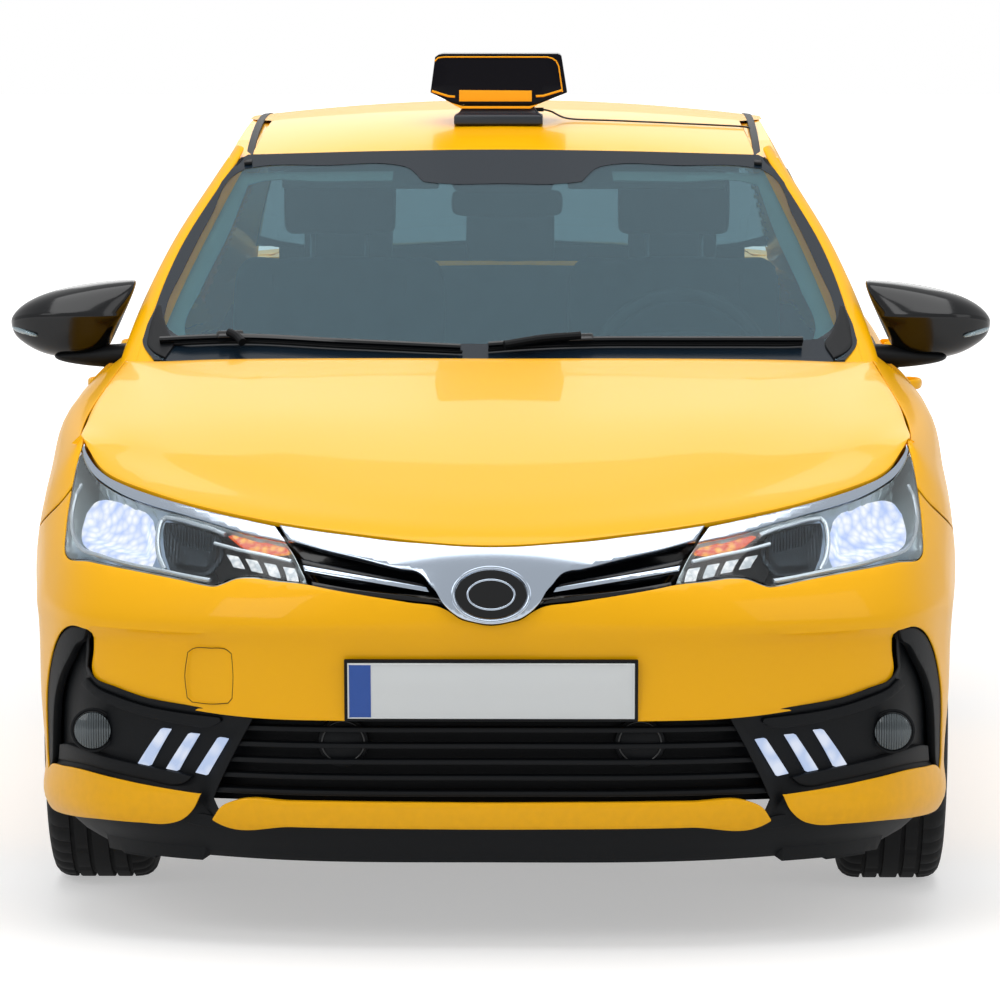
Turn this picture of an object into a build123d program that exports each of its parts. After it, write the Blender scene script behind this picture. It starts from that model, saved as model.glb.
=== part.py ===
"""A four-door saloon taxi cab with a steel unitary body, front engine and a lit roof sign.

The front faces -Y, +X is the car's left side and +Z is up. The origin is on the ground, under
the middle of the car. Every length is in millimetres.
"""

import os
from math import cos, hypot, pi, radians, sin, tan

from build123d import *

# Driving dimensions of the whole car.
LENGTH = 4620.0
WIDTH = 1776.0
FRONT_OVERHANG = 960.0
WHEELBASE = 2700.0
TRACK = 1520.0

# Tyres 205/55 R16 on their wheels.
TYRE_WIDTH = 205.0
TYRE_SIDEWALL = 113.0
RIM_RADIUS = 203.0
RIM_WIDTH = 165.0
BEAD_CLEARANCE = 0.3
HUB_RADIUS = 66.0
HUB_LENGTH = 60.0
SPOKE_COUNT = 5
BRAKE_DISC_RADIUS = 138.0
ARCH_GAP = 34.0

# Clearances: between a moving panel and its neighbour, between fixed pieces, and at pins.
SHUT_GAP = 6.0
SEAM = 0.6
PIN_PLAY = 0.15

# Wall thicknesses.
SKIN = 9.0
DOOR_THICKNESS = 75.0
FRAME_THICKNESS = 35.0
PILLAR_THICKNESS = 45.0
BUMPER_WALL = 30.0
LAMP_DEPTH = 110.0
ROOF_THICKNESS = 26.0
BONNET_THICKNESS = 24.0
GLASS = 5.0

# Heights above the ground.
SILL_TOP = 277.0
FLOOR_HEIGHT = 215.0
BELT = 945.0

# Door hinges: the pin stands ahead of the door's leading edge, under the panel in front of it,
# so that the door's edge swings out over that panel.
HINGE_AHEAD = 26.0
HINGE_INSET = 34.0
HINGE_HEIGHTS = (470.0, 740.0)
HINGE_PIN = 3.5
HINGE_BARREL = 6.5
HINGE_LENGTH = 24.0
HINGE_EAR = 8.0
HINGE_ARM = 8.0
HINGE_REACH = 50.0
SWING_GAP = 3.0

HALF_W = WIDTH / 2
NOSE = -LENGTH / 2
TAIL = LENGTH / 2
AXLE_F = NOSE + FRONT_OVERHANG
AXLE_R = AXLE_F + WHEELBASE
TYRE_RADIUS = RIM_RADIUS + TYRE_SIDEWALL
ARCH_RADIUS = TYRE_RADIUS + ARCH_GAP
WHEEL_X = TRACK / 2

# Shut lines along the car, from the front axle.
DOOR_F_LEAD = AXLE_F + 460.0
DOOR_F_TRAIL = AXLE_F + 1430.0
DOOR_R_LEAD = DOOR_F_TRAIL + SHUT_GAP
DOOR_R_TRAIL = AXLE_R - 180.0

parts = {}


def out(name, shape):
    """Keeps a finished piece under its node name."""
    parts[name] = shape


def mirrored(shape):
    return shape.mirror(Plane.YZ)


def prism_yz(points, x0=-HALF_W - 200, x1=HALF_W + 200, round_all=0.0):
    """A straight prism along X over an outline of (y, z) points."""
    wire = Polyline(*[(x0, y, z) for y, z in points], close=True)
    face = make_face(wire)
    solid = extrude(face, x1 - x0, dir=(1, 0, 0))
    if round_all:
        solid = fillet(solid.edges().filter_by(Axis.X), round_all)
    return solid


def prism_xz(points, y0, y1):
    """A straight prism along Y over an outline of (x, z) points."""
    wire = Polyline(*[(x, y0, z) for x, z in points], close=True)
    return extrude(make_face(wire), y1 - y0, dir=(0, 1, 0))


def prism_xy(points, z0, z1):
    """A straight prism along Z over an outline of (x, y) points."""
    wire = Polyline(*[(x, y, z0) for x, y in points], close=True)
    return extrude(make_face(wire), z1 - z0, dir=(0, 0, 1))


def block(x, y, z):
    """A box from its (low, high) pairs."""
    size = Box(x[1] - x[0], y[1] - y[0], z[1] - z[0])
    return Pos((x[0] + x[1]) / 2, (y[0] + y[1]) / 2, (z[0] + z[1]) / 2) * size


def rod(start, end, radius):
    """A round bar between two points."""
    a, b = Vector(*start), Vector(*end)
    plane = Plane(origin=a, z_dir=b - a)
    return extrude(plane * Circle(radius), (b - a).length)


# ---------------------------------------------------------------- body side, below the belt
# Stations from the nose to the tail. Columns: station y; then the inset from the full half
# width and the height of the sill, rocker, waist, shoulder, crest and top inner edge.
SIDE_ROWS = [
    (NOSE + 320, (128, 225), (75, 400), (62, 600), (84, 720), (110, 780), (170, 830)),
    (NOSE + 610, (86, 222), (46, 400), (20, 600), (30, 750), (72, 850), (106, 890)),
    (AXLE_F, (74, 218), (28, 400), (4, 600), (16, 770), (60, 900), (136, 962)),
    (AXLE_F + 400, (66, 212), (26, 400), (4, 600), (16, 785), (50, 915), (150, 1000)),
    (AXLE_F + 1050, (58, 208), (23, 400), (3, 610), (18, 790), (48, 905), (100, BELT + 5)),
    (AXLE_F + 1950, (58, 208), (22, 400), (2, 620), (16, 800), (46, 910), (100, BELT + 8)),
    (AXLE_R, (66, 215), (22, 400), (0, 640), (14, 825), (52, 935), (200, 1010)),
    (AXLE_R + 500, (88, 230), (48, 420), (38, 650), (50, 840), (98, 960), (300, 1044)),
    (TAIL - 190, (150, 260), (100, 430), (90, 680), (100, 850), (150, 970), (330, 1046)),
]
# How far each of the six points moves (inboard, down) for each millimetre of depth.
SIDE_INWARD = ((1, 0), (1, 0), (1, 0), (0.97, 0.2), (0.72, 0.7), (0.25, 0.97))


def side_loft(depth_out, depth_in):
    """A layer of the car's left side wall between two depths under the outer skin."""
    wires = []
    for y, *points in SIDE_ROWS:
        ring = []
        for depth in (depth_out, depth_in):
            ring.append([
                (HALF_W - inset - depth * dx, y, z - depth * dz)
                for (inset, z), (dx, dz) in zip(points, SIDE_INWARD)
            ])
        p, q = ring
        wires.append(Wire([
            Line(p[0], p[1]).edge(), ThreePointArc(p[1], p[2], p[3]).edge(),
            ThreePointArc(p[3], p[4], p[5]).edge(), Line(p[5], q[5]).edge(),
            ThreePointArc(q[5], q[4], q[3]).edge(), ThreePointArc(q[3], q[2], q[1]).edge(),
            Line(q[1], q[0]).edge(), Line(q[0], p[0]).edge(),
        ]))
    return Solid.make_loft(wires)


# ------------------------------------------------------------- body side, above the belt
# Columns: station y; inset from the full half width at the belt, halfway up and at the top.
UPPER_ROWS = [
    (AXLE_F + 230, 150, 226, 350),
    (AXLE_F + 1020, 101, 196, 343),
    (AXLE_F + 1500, 93, 186, 330),
    (AXLE_F + 2300, 102, 204, 350),
    (AXLE_R + 150, 140, 255, 400),
    (AXLE_R + 480, 185, 310, 460),
]
UPPER_LEVELS = (880.0, 1150.0, 1430.0)


def upper_loft(depth_out, depth_in):
    """A layer of the car's left greenhouse wall between two depths under its outside."""
    wires = []
    for y, belt, middle, top in UPPER_ROWS:
        low = belt - 0.44 * (BELT - UPPER_LEVELS[0])
        insets = (low, middle, top + 0.5 * (UPPER_LEVELS[2] - 1420))
        p = [(HALF_W - i - depth_out, y, z) for i, z in zip(insets, UPPER_LEVELS)]
        q = [(HALF_W - i - depth_in, y, z) for i, z in zip(insets, UPPER_LEVELS)]
        wires.append(Wire([
            ThreePointArc(*p).edge(), Line(p[2], q[2]).edge(),
            ThreePointArc(q[2], q[1], q[0]).edge(), Line(q[0], p[0]).edge(),
        ]))
    return Solid.make_loft(wires)


# ------------------------------------------------------------------- nose and tail bands
# Columns: height; distance behind the end of the car at the centre; then (x inset from the
# half width, distance behind the end) at the end of the front arc, the corner's middle, the
# corner's end and the end of the side.
NOSE_ROWS = [
    (225, 30, (408, 75), (188, 200), (98, 410), (82, 790)),
    (420, 22, (388, 68), (148, 198), (63, 410), (40, 790)),
    (600, 0, (388, 48), (143, 200), (50, 410), (16, 790)),
    (700, 25, (388, 120), (158, 260), (78, 420), (22, 790)),
    (790, 110, (328, 250), (180, 360), (88, 500), (36, 790)),
    (884, 260, (328, 430), (190, 540), (108, 640), (72, 790)),
]
TAIL_ROWS = [
    (230, 40, (408, 75), (168, 190), (90, 400), (74, 760)),
    (450, 5, (388, 42), (118, 180), (48, 400), (26, 760)),
    (640, 0, (388, 40), (116, 180), (42, 400), (12, 760)),
    (760, 50, (388, 85), (133, 220), (54, 420), (14, 760)),
    (900, 75, (388, 110), (168, 240), (78, 430), (36, 760)),
    (1040, 95, (408, 135), (230, 240), (150, 430), (100, 760)),
]


def end_loft(rows, end, inward, depth, spare=0.0):
    """A solid wrapped round one end of the car, shrunk inwards by a depth.

    inward is +1 at the nose and -1 at the tail; spare lengthens the stack at its ends.
    """
    wires = []
    for index, (z, centre, arc_end, corner, corner_end, side) in enumerate(rows):
        if index == 0:
            z -= spare
        if index == len(rows) - 1:
            z += spare
        shift = ((0.25, 0.97), (0.7, 0.7), (1.0, 0.2), (1.0, 0.0))
        right = []
        for (inset, back), (dx, dy) in zip((arc_end, corner, corner_end, side), shift):
            right.append((HALF_W - inset - depth * dx, end + inward * (back + depth * dy), z))
        left = [(-x, y, level) for x, y, level in right]
        middle = (0, end + inward * (centre + depth), z)
        wires.append(Wire([
            ThreePointArc(left[0], middle, right[0]).edge(),
            ThreePointArc(right[0], right[1], right[2]).edge(),
            Line(right[2], right[3]).edge(), Line(right[3], left[3]).edge(),
            Line(left[3], left[2]).edge(), ThreePointArc(left[2], left[1], left[0]).edge(),
        ]))
    return Solid.make_loft(wires)


def nose_shell(depth_out, depth_in):
    return (end_loft(NOSE_ROWS, NOSE, 1, depth_out)
            - end_loft(NOSE_ROWS, NOSE, 1, depth_in, spare=12))


def tail_shell(depth_out, depth_in):
    return (end_loft(TAIL_ROWS, TAIL, -1, depth_out)
            - end_loft(TAIL_ROWS, TAIL, -1, depth_in, spare=12))


def crown_loft(rows, thickness):
    """A sheet crowned across the car. Rows: y, half width, edge height, centre height."""
    wires = []
    for y, half, edge, centre in rows:
        top = ThreePointArc((-half, y, edge), (0, y, centre), (half, y, edge)).edge()
        low = ThreePointArc((half, y, edge - thickness), (0, y, centre - thickness),
                            (-half, y, edge - thickness)).edge()
        wires.append(Wire([
            top, Line((half, y, edge), (half, y, edge - thickness)).edge(), low,
            Line((-half, y, edge - thickness), (-half, y, edge)).edge(),
        ]))
    return Solid.make_loft(wires)


# ------------------------------------------------------------------ outlines seen from the side
# The greenhouse: (distance from the front axle, height) up the windscreen pillar, along the
# roof and down to the boot.
GREENHOUSE = [
    (288, 870), (288, 985), (1012, 1366), (1200, 1397), (1650, 1436), (2050, 1424),
    (2280, 1395), (3010, 1050), (3010, 870),
]
RAIL_DEPTH = 48.0
SCREEN_PILLAR = 95.0
PILLAR_SLOPE = (1366 - 985) / (1012 - 288)


def from_axle(points):
    return [(AXLE_F + dy, z) for dy, z in points]


def pillar_height(y, behind):
    """Height of a line parallel to the windscreen pillar, this far behind its front edge."""
    return 985 + (y - AXLE_F - 288 - behind) * PILLAR_SLOPE


def front_door_outline(gap):
    lead, trail = DOOR_F_LEAD - gap, DOOR_F_TRAIL + gap
    corner = AXLE_F + 1020
    return [
        (lead, SILL_TOP + SHUT_GAP - gap), (lead, pillar_height(DOOR_F_LEAD, SCREEN_PILLAR) + gap),
        (corner, 1366 - RAIL_DEPTH + gap), (AXLE_F + 1200, 1397 - RAIL_DEPTH + gap),
        (trail, 1417 - RAIL_DEPTH + gap), (trail, SILL_TOP + SHUT_GAP - gap),
    ]


def rear_door_outline(gap):
    lead = DOOR_R_LEAD - gap
    return [
        (lead, SILL_TOP + SHUT_GAP - gap), (lead, 1417.6 - RAIL_DEPTH + gap),
        (AXLE_F + 1650, 1436 - RAIL_DEPTH + gap), (AXLE_F + 2050, 1424 - RAIL_DEPTH + gap),
        (AXLE_F + 2150 + gap, 1402 - RAIL_DEPTH + gap), (DOOR_R_TRAIL - 5 + 1.6 * gap, 955 + gap),
        (AXLE_R - 230 + 1.6 * gap, 700), (AXLE_R - 230 + gap, SILL_TOP + SHUT_GAP - gap),
    ]


FRAME_BAR = 40.0
WINDOW_SILL = BELT + 17
FRONT_WINDOW = [
    (AXLE_F + 610, WINDOW_SILL), (AXLE_F + 610, pillar_height(AXLE_F + 610, 180)),
    (AXLE_F + 1058, pillar_height(AXLE_F + 1058, 180)), (AXLE_F + 1200, 1397 - 88),
    (DOOR_F_TRAIL - FRAME_BAR, 1414 - 88), (DOOR_F_TRAIL - FRAME_BAR, WINDOW_SILL),
]
REAR_WINDOW = [
    (DOOR_R_LEAD + FRAME_BAR, WINDOW_SILL), (DOOR_R_LEAD + FRAME_BAR, 1420 - 88),
    (AXLE_F + 1650, 1436 - 88), (AXLE_F + 2040, 1424 - 92), (AXLE_F + 2110, 1310),
    (AXLE_R - 262, WINDOW_SILL + 40), (AXLE_R - 290, WINDOW_SILL),
]

# Seams at the front wing: bumper to wing, and lamp to wing.
WING_FRONT = [(AXLE_F - 210, 600), (AXLE_F - 520, 790), (AXLE_F - 322, 893)]


def arch(y, radius):
    return rod((HALF_W - 420, y, TYRE_RADIUS), (HALF_W + 60, y, TYRE_RADIUS), radius)


wall_door = side_loft(0, DOOR_THICKNESS)
wall_skin = side_loft(0, SKIN)
upper_frame = upper_loft(0, FRAME_THICKNESS)
upper_pillar = upper_loft(0, PILLAR_THICKNESS)

HINGE_X = HALF_W - HINGE_INSET


# ------------------------------------------------------------------------------------ doors
def hinge_door_side(lead):
    """The door's half of its two hinges: a barrel and the arm that carries it."""
    y = lead - HINGE_AHEAD
    leaf = None
    for z in HINGE_HEIGHTS:
        low = z - HINGE_LENGTH / 2
        barrel = Pos(HINGE_X, y, z) * Cylinder(HINGE_BARREL, HINGE_LENGTH)
        run = Vector(-HINGE_REACH, HINGE_AHEAD + 10, 0)
        half = Vector(run.Y, -run.X, 0).normalized() * (HINGE_ARM / 2)
        corners = [half, run + half, run - half, half * -1]
        arm = prism_xy([(HINGE_X + c.X, y + c.Y) for c in corners], low, low + HINGE_LENGTH)
        bore = Pos(HINGE_X, y, z) * Cylinder(HINGE_PIN + PIN_PLAY, HINGE_LENGTH + 2)
        piece = (barrel + arm) - bore
        leaf = piece if leaf is None else leaf + piece
    return leaf


def hinge_post_side(lead, post_x):
    """The body's half: two ears on the post and the pin between them."""
    y = lead - HINGE_AHEAD
    shape = None
    for z in HINGE_HEIGHTS:
        pin = Pos(HINGE_X, y, z) * Cylinder(HINGE_PIN, HINGE_LENGTH + 2 * HINGE_EAR)
        for side in (-1, 1):
            middle = z + side * (HINGE_LENGTH / 2 + PIN_PLAY + HINGE_EAR / 2)
            ear = block((post_x - 2, HINGE_X), (y - HINGE_BARREL, y + HINGE_BARREL),
                        (middle - HINGE_EAR / 2, middle + HINGE_EAR / 2))
            tip = Pos(HINGE_X, y, middle) * Cylinder(HINGE_BARREL, HINGE_EAR)
            pin = pin + ear + tip
        shape = pin if shape is None else shape + pin
    return shape


def hinge_relief(lead, row):
    """What the door's leading face gives up, so that it swings past the corner of the panel ahead.

    It is turned about the hinge axis, and its radius follows the body side's bulge.
    """
    y, *points = row
    p = [(HALF_W - inset, y, z) for inset, z in points]
    arcs = (ThreePointArc(p[1], p[2], p[3]), ThreePointArc(p[3], p[4], p[5]))
    corner = HINGE_AHEAD - SHUT_GAP
    outline = [(0, SILL_TOP), (hypot(max(p[0][0] - HINGE_X, 0), corner) + SWING_GAP, SILL_TOP)]
    for arc, stops in ((arcs[0], (0.0, 0.2, 0.4, 0.6, 0.8, 1.0)), (arcs[1], (0.3, 0.6))):
        for stop in stops:
            point = arc @ stop
            outline.append((hypot(max(point.X - HINGE_X, 0), corner) + SWING_GAP, point.Z))
    outline.append((0, outline[-1][1]))
    face = make_face(Polyline(*[(r, 0, z) for r, z in outline], close=True))
    return Pos(HINGE_X, lead - HINGE_AHEAD, 0) * revolve(face, Axis.Z)


def hinge_pocket(lead):
    """The room that a hinge needs inside the trailing edge of the door ahead of it."""
    y = lead - HINGE_AHEAD
    room = HINGE_LENGTH / 2 + HINGE_EAR + SHUT_GAP
    shape = None
    for z in HINGE_HEIGHTS:
        box = block((HALF_W - 220, HINGE_X + HINGE_BARREL + 5),
                    (y - HINGE_BARREL - 9, lead + 20), (z - room, z + room))
        shape = box if shape is None else shape + box
    return shape


door_blank = wall_door + upper_frame.cut(block((0, 1000), (-3000, 3000), (0, 895)))
front_window = prism_yz(FRONT_WINDOW, 300, HALF_W + 200)
rear_window_hole = prism_yz(REAR_WINDOW, 300, HALF_W + 200)

door_front = door_blank & prism_yz(front_door_outline(0), 300, HALF_W + 200)
door_front = door_front - front_window - hinge_pocket(DOOR_R_LEAD)
door_front = door_front - hinge_relief(DOOR_F_LEAD, SIDE_ROWS[3])
door_front = door_front + hinge_door_side(DOOR_F_LEAD)

door_rear = door_blank & prism_yz(rear_door_outline(0), 300, HALF_W + 200)
door_rear = door_rear - rear_window_hole - arch(AXLE_R, ARCH_RADIUS + 29 + SHUT_GAP)
door_rear = door_rear - hinge_relief(DOOR_R_LEAD, SIDE_ROWS[4])
door_rear = door_rear + hinge_door_side(DOOR_R_LEAD)

PANE_DEPTH = 14.0
PANE_PLAY = 0.4
pane_wall = upper_loft(PANE_DEPTH, PANE_DEPTH + GLASS)


def pane(outline):
    """A side window, cut a little smaller than its hole in the door."""
    face = make_face(Polyline(*[(300, y, z) for y, z in outline], close=True))
    return pane_wall & extrude(offset(face, amount=-PANE_PLAY), HALF_W, dir=(1, 0, 0))


glass_front = pane(FRONT_WINDOW)
glass_rear = pane(REAR_WINDOW)


# ---------------------------------------------------------------------- body side and wing
POST_X = (HALF_W - 198, HALF_W - 139)
A_POST_Y = (DOOR_F_LEAD - 75, DOOR_F_LEAD - 15)
B_POST_Y = (DOOR_F_TRAIL - 35, DOOR_F_TRAIL + 45)
QUARTER_END = TAIL - 405.0
BUMPER_TOP_REAR = 694.0
SIDE = (300, HALF_W + 200)
# Jacking pads under the sill.
JACK_PADS = (AXLE_F + 520.0, AXLE_R - 420.0)
JACK_PAD_X = (HALF_W - 130, HALF_W - 90)
JACK_PAD_FACE = 195.0

pillars = upper_pillar & prism_yz(from_axle(GREENHOUSE), *SIDE)
pillars = pillars - prism_yz(front_door_outline(SHUT_GAP), *SIDE)
pillars = pillars - prism_yz(rear_door_outline(SHUT_GAP), *SIDE)
b_post_upper = upper_loft(FRAME_THICKNESS + SHUT_GAP, FRAME_THICKNESS + SHUT_GAP + 36)
b_post_upper = b_post_upper & block(SIDE, B_POST_Y, (UPPER_LEVELS[0], 1395))
sill = wall_door & block(SIDE, (AXLE_F + 300, AXLE_R - 300), (150, SILL_TOP))
arches = arch(AXLE_F, ARCH_RADIUS) + arch(AXLE_R, ARCH_RADIUS)
quarter_zone = prism_yz([
    (DOOR_R_TRAIL - 205, SILL_TOP + SEAM), (AXLE_R, SILL_TOP + SEAM), (AXLE_R + 205, 595),
    (AXLE_R + 350, BUMPER_TOP_REAR),
    (QUARTER_END, BUMPER_TOP_REAR), (QUARTER_END, 1150), (DOOR_R_TRAIL - 205, 1150),
], *SIDE)
quarter = wall_skin & quarter_zone
door_hole = prism_yz(rear_door_outline(SHUT_GAP), *SIDE) - arch(AXLE_R, ARCH_RADIUS + 29)
quarter = quarter - door_hole
side_frame = (pillars + b_post_upper + sill + quarter) - arches
side_frame = side_frame + block(POST_X, A_POST_Y, (FLOOR_HEIGHT + 10, 900))
side_frame = side_frame + block(POST_X, B_POST_Y, (FLOOR_HEIGHT + 10, 900))
side_frame = side_frame + block((POST_X[0], POST_X[1] + 30), A_POST_Y, (FLOOR_HEIGHT + 10, 270))
side_frame = side_frame + block((POST_X[0], POST_X[1] + 30), B_POST_Y, (FLOOR_HEIGHT + 10, 270))
for y in JACK_PADS:
    side_frame = side_frame + block(JACK_PAD_X, (y - 35, y + 35), (JACK_PAD_FACE, FLOOR_HEIGHT + 10))
side_frame = side_frame + hinge_post_side(DOOR_F_LEAD, POST_X[1])
side_frame = side_frame + hinge_post_side(DOOR_R_LEAD, POST_X[1])

wing_zone = prism_yz(WING_FRONT + [
    (AXLE_F - 322, 1150), (DOOR_F_LEAD - SHUT_GAP, 1150), (DOOR_F_LEAD - SHUT_GAP, 150),
    (AXLE_F - 210, 150),
], *SIDE)
wing = (wall_skin & wing_zone) - arch(AXLE_F, ARCH_RADIUS)
wing = wing - (sill + block(SIDE, (DOOR_F_LEAD - 400, DOOR_F_LEAD), (0, SILL_TOP + SEAM)))
wing = wing - prism_yz(from_axle([(p[0] - 4, p[1] + 3) for p in GREENHOUSE]), *SIDE)

# -------------------------------------------------------------------------- bonnet and boot
# Columns: y, half width, height at the edge, height at the centre.
BONNET_ROWS = [
    (NOSE + 40, 820, 690, 738), (NOSE + 250, 815, 770, 798), (NOSE + 610, 790, 880, 900),
    (AXLE_F, 770, 958, 962), (AXLE_F + 270, 750, 988, 1002),
]
# Plan: half width against y, from the front at the centre round to the rear.
BONNET_PLAN = [
    (0, NOSE + 55), (388, NOSE + 130), (562, NOSE + 262), (700, NOSE + 445), (770, NOSE + 640),
    (744, AXLE_F), (728, AXLE_F + 250), (400, AXLE_F + 193), (0, AXLE_F + 168),
]


def plan_prism(half_points, z0, z1, grow=0.0):
    points = half_points + [(-x, y) for x, y in reversed(half_points) if x > 0]
    face = make_face(Polyline(*[(x, y, z0) for x, y in points], close=True))
    if grow:
        face = offset(face, amount=grow)
    return extrude(face, z1 - z0, dir=(0, 0, 1))


def bonnet_blank(grow):
    rows = [(y, half + grow, edge + grow, centre + grow)
            for y, half, edge, centre in BONNET_ROWS]
    rows[0] = (rows[0][0] - grow * 2, *rows[0][1:])
    rows[-1] = (rows[-1][0] + grow * 2, *rows[-1][1:])
    return crown_loft(rows, BONNET_THICKNESS + 2 * grow) & plan_prism(BONNET_PLAN, 500, 1200, grow)


bonnet = bonnet_blank(0)
bonnet_room = bonnet_blank(SHUT_GAP)
wing = wing - bonnet_room

BONNET_AXIS = (AXLE_F + 280, 962.0)
BONNET_HINGE_X = 600.0


def flap_hinge(x, axis, reach, fall, pin_only):
    """One hinge of a flap across the car: the barrel with its arm, or the ears with the pin."""
    y, z = axis
    width = HINGE_LENGTH
    if not pin_only:
        barrel = rod((x - width / 2, y, z), (x + width / 2, y, z), HINGE_BARREL)
        half = HINGE_ARM / 2
        arm = prism_yz([(y, z - half), (y + reach, z + fall - half),
                        (y + reach, z + fall + half), (y, z + half)],
                       x - width / 2, x + width / 2)
        bore = rod((x - width, y, z), (x + width, y, z), HINGE_PIN + PIN_PLAY)
        return (barrel + arm) - bore
    shape = rod((x - width / 2 - HINGE_EAR, y, z), (x + width / 2 + HINGE_EAR, y, z), HINGE_PIN)
    for side in (-1, 1):
        x0 = x + side * (width / 2 + PIN_PLAY)
        x1 = x0 + side * HINGE_EAR
        low, high = min(x0, x1), max(x0, x1)
        ear = prism_yz([(y, z - HINGE_BARREL), (y + reach, z - HINGE_BARREL),
                        (y + reach, z + HINGE_BARREL), (y, z + HINGE_BARREL)], low, high)
        shape = shape + ear + rod((low, y, z), (high, y, z), HINGE_BARREL)
    return shape


for side in (-1, 1):
    bonnet = bonnet + flap_hinge(side * BONNET_HINGE_X, BONNET_AXIS, -76, 14, False)

BOOT_AXIS = (AXLE_R + 302, 1048.0)
BOOT_HINGE_X = 500.0
BOOT_FRONT = AXLE_R + 318
BOOT_ROWS = [
    (BOOT_FRONT, 640, 1050, 1064), (AXLE_R + 550, 640, 1048, 1074), (TAIL - 130, 600, 1040, 1070),
    (TAIL - 95, 590, 1036, 1066),
]
BOOT_PLAN = [
    (0, BOOT_FRONT), (592, BOOT_FRONT), (580, AXLE_R + 500), (550, TAIL - 170),
    (470, TAIL - 130), (0, TAIL - 95),
]
LID_FACE = [(552, 1040), (500, 930), (440, 860), (425, 700), (-425, 700), (-440, 860),
            (-500, 930), (-552, 1040)]
LID_LOW = BUMPER_TOP_REAR + SHUT_GAP
boot_lid = crown_loft(BOOT_ROWS, 32) & plan_prism(BOOT_PLAN, 900, 1200)
tail_30 = tail_shell(0, BUMPER_WALL)
boot_face = tail_30 & prism_xz(LID_FACE, TAIL - 250, TAIL + 20)
boot_lid = boot_lid + boot_face
for side in (-1, 1):
    boot_lid = boot_lid + flap_hinge(side * BOOT_HINGE_X, BOOT_AXIS, 40, -12, False)

# --------------------------------------------------------------------------- front end
# Outlines seen from the front, (x, height) for the car's left half.
LAMP = [(1000, 700), (788, 692), (499, 656), (330, 667), (388, 766), (560, 795), (700, 840),
        (772, 884), (1000, 900)]
GRILLE_UPPER = [(0, 604), (95, 630), (330, 667), (388, 766), (300, 762), (0, 742)]
GRILLE_LOWER = [(0, 279), (520, 283), (700, 284), (802, 288), (812, 420), (735, 555),
                (718, 548), (748, 470), (660, 440), (340, 422), (0, 422)]


def mirrored_xz(half_points, y0, y1):
    points = half_points + [(-x, z) for x, z in reversed(half_points) if x > 0]
    return prism_xz(points, y0, y1)


wing_room = prism_yz([(AXLE_F - 210, 150), (AXLE_F - 210, 600 - SEAM), (AXLE_F - 520 - SEAM, 790),
                      (AXLE_F - 323, 894), (AXLE_F - 323, 1150), (AXLE_F + 100, 1150),
                      (AXLE_F + 100, 150)])
front_room = wing_room + bonnet_room + arch(AXLE_F, ARCH_RADIUS) + mirrored(arch(AXLE_F, ARCH_RADIUS))
lamp_prism = prism_xz(LAMP, NOSE - 50, AXLE_F)
grille_prism = mirrored_xz(GRILLE_UPPER, NOSE - 50, AXLE_F - 300)
mouth_prism = mirrored_xz(GRILLE_LOWER, NOSE - 50, AXLE_F - 500)


def half_lamp(points, gap):
    face = make_face(Polyline(*[(x, NOSE - 50, z) for x, z in points], close=True))
    return extrude(offset(face, amount=gap), 1000, dir=(0, 1, 0))


bumper_front = nose_shell(0, BUMPER_WALL) - front_room
bumper_front = bumper_front - half_lamp(LAMP, SEAM) - mirrored(half_lamp(LAMP, SEAM))
bumper_front = bumper_front - grille_prism - mouth_prism
above = mirrored_xz([(0, 690), (336, 690), (388, 760), (560, 790), (700, 836), (760, 876), (1000, 876),
                     (1000, 1200), (0, 1200)], NOSE - 50, AXLE_F)
bumper_front = bumper_front - above
headlamp = (nose_shell(0, LAMP_DEPTH) & lamp_prism) - front_room
grille_upper = (nose_shell(8, 40) & mirrored_xz(GRILLE_UPPER, NOSE - 50, AXLE_F)) - front_room
grille_upper = max(grille_upper.solids(), key=lambda solid: solid.volume)
grille_lower = nose_shell(16, 50) & mirrored_xz(GRILLE_LOWER, NOSE - 50, AXLE_F - 500)
grille_lower = grille_lower - front_room

# ----------------------------------------------------------------------------- rear end
TAIL_LAMP = [(440, 740), (1000, 755), (1000, 900), (560, 925), (496, 910)]
TAIL_LAMP_END = TAIL - 350.0
REAR_BUMPER_ROOM = [
    (AXLE_R + 205, 590), (AXLE_R + 350, BUMPER_TOP_REAR - SEAM), (TAIL + 100, BUMPER_TOP_REAR - SEAM),
    (TAIL + 100, 1200), (AXLE_R, 1200), (AXLE_R, 590),
]
lamp_box = prism_xz(TAIL_LAMP, TAIL_LAMP_END, TAIL + 50)
lid_room = mirrored_xz([(0, 1100), (558, 1100), (558, 1040), (506, 930), (446, 860), (431, 600),
                        (0, 600)], TAIL - 300, TAIL + 50)
rear_bumper = tail_30 - prism_yz(REAR_BUMPER_ROOM) - arch(AXLE_R, ARCH_RADIUS)
rear_bumper = rear_bumper - mirrored(arch(AXLE_R, ARCH_RADIUS))
quarter_tail = tail_shell(0, SKIN) & block((300, HALF_W + 100), (QUARTER_END - 12, TAIL + 50),
                                           (BUMPER_TOP_REAR, 1040))
quarter_tail = quarter_tail - lid_room
tail_lamp = (tail_shell(0, 60) & lamp_box) - lid_room
quarter_tail = quarter_tail - prism_xz(TAIL_LAMP, TAIL_LAMP_END - SEAM, TAIL + 50)
side_frame = side_frame + quarter_tail

# ------------------------------------------------------------------------- roof and glass
# Roof: y, half width, edge height, centre height.
ROOF_ROWS = [
    (AXLE_F + 970, 560, 1352, 1381), (AXLE_F + 1200, 560, 1394, 1434),
    (AXLE_F + 1650, 560, 1432, 1465), (AXLE_F + 2050, 560, 1418, 1458),
    (AXLE_F + 2300, 560, 1386, 1424),
]
ROOF_PLAN = [(0, AXLE_F + 971), (300, AXLE_F + 984), (560, AXLE_F + 1020), (560, AXLE_F + 2278),
             (300, AXLE_F + 2292), (0, AXLE_F + 2298)]
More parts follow.
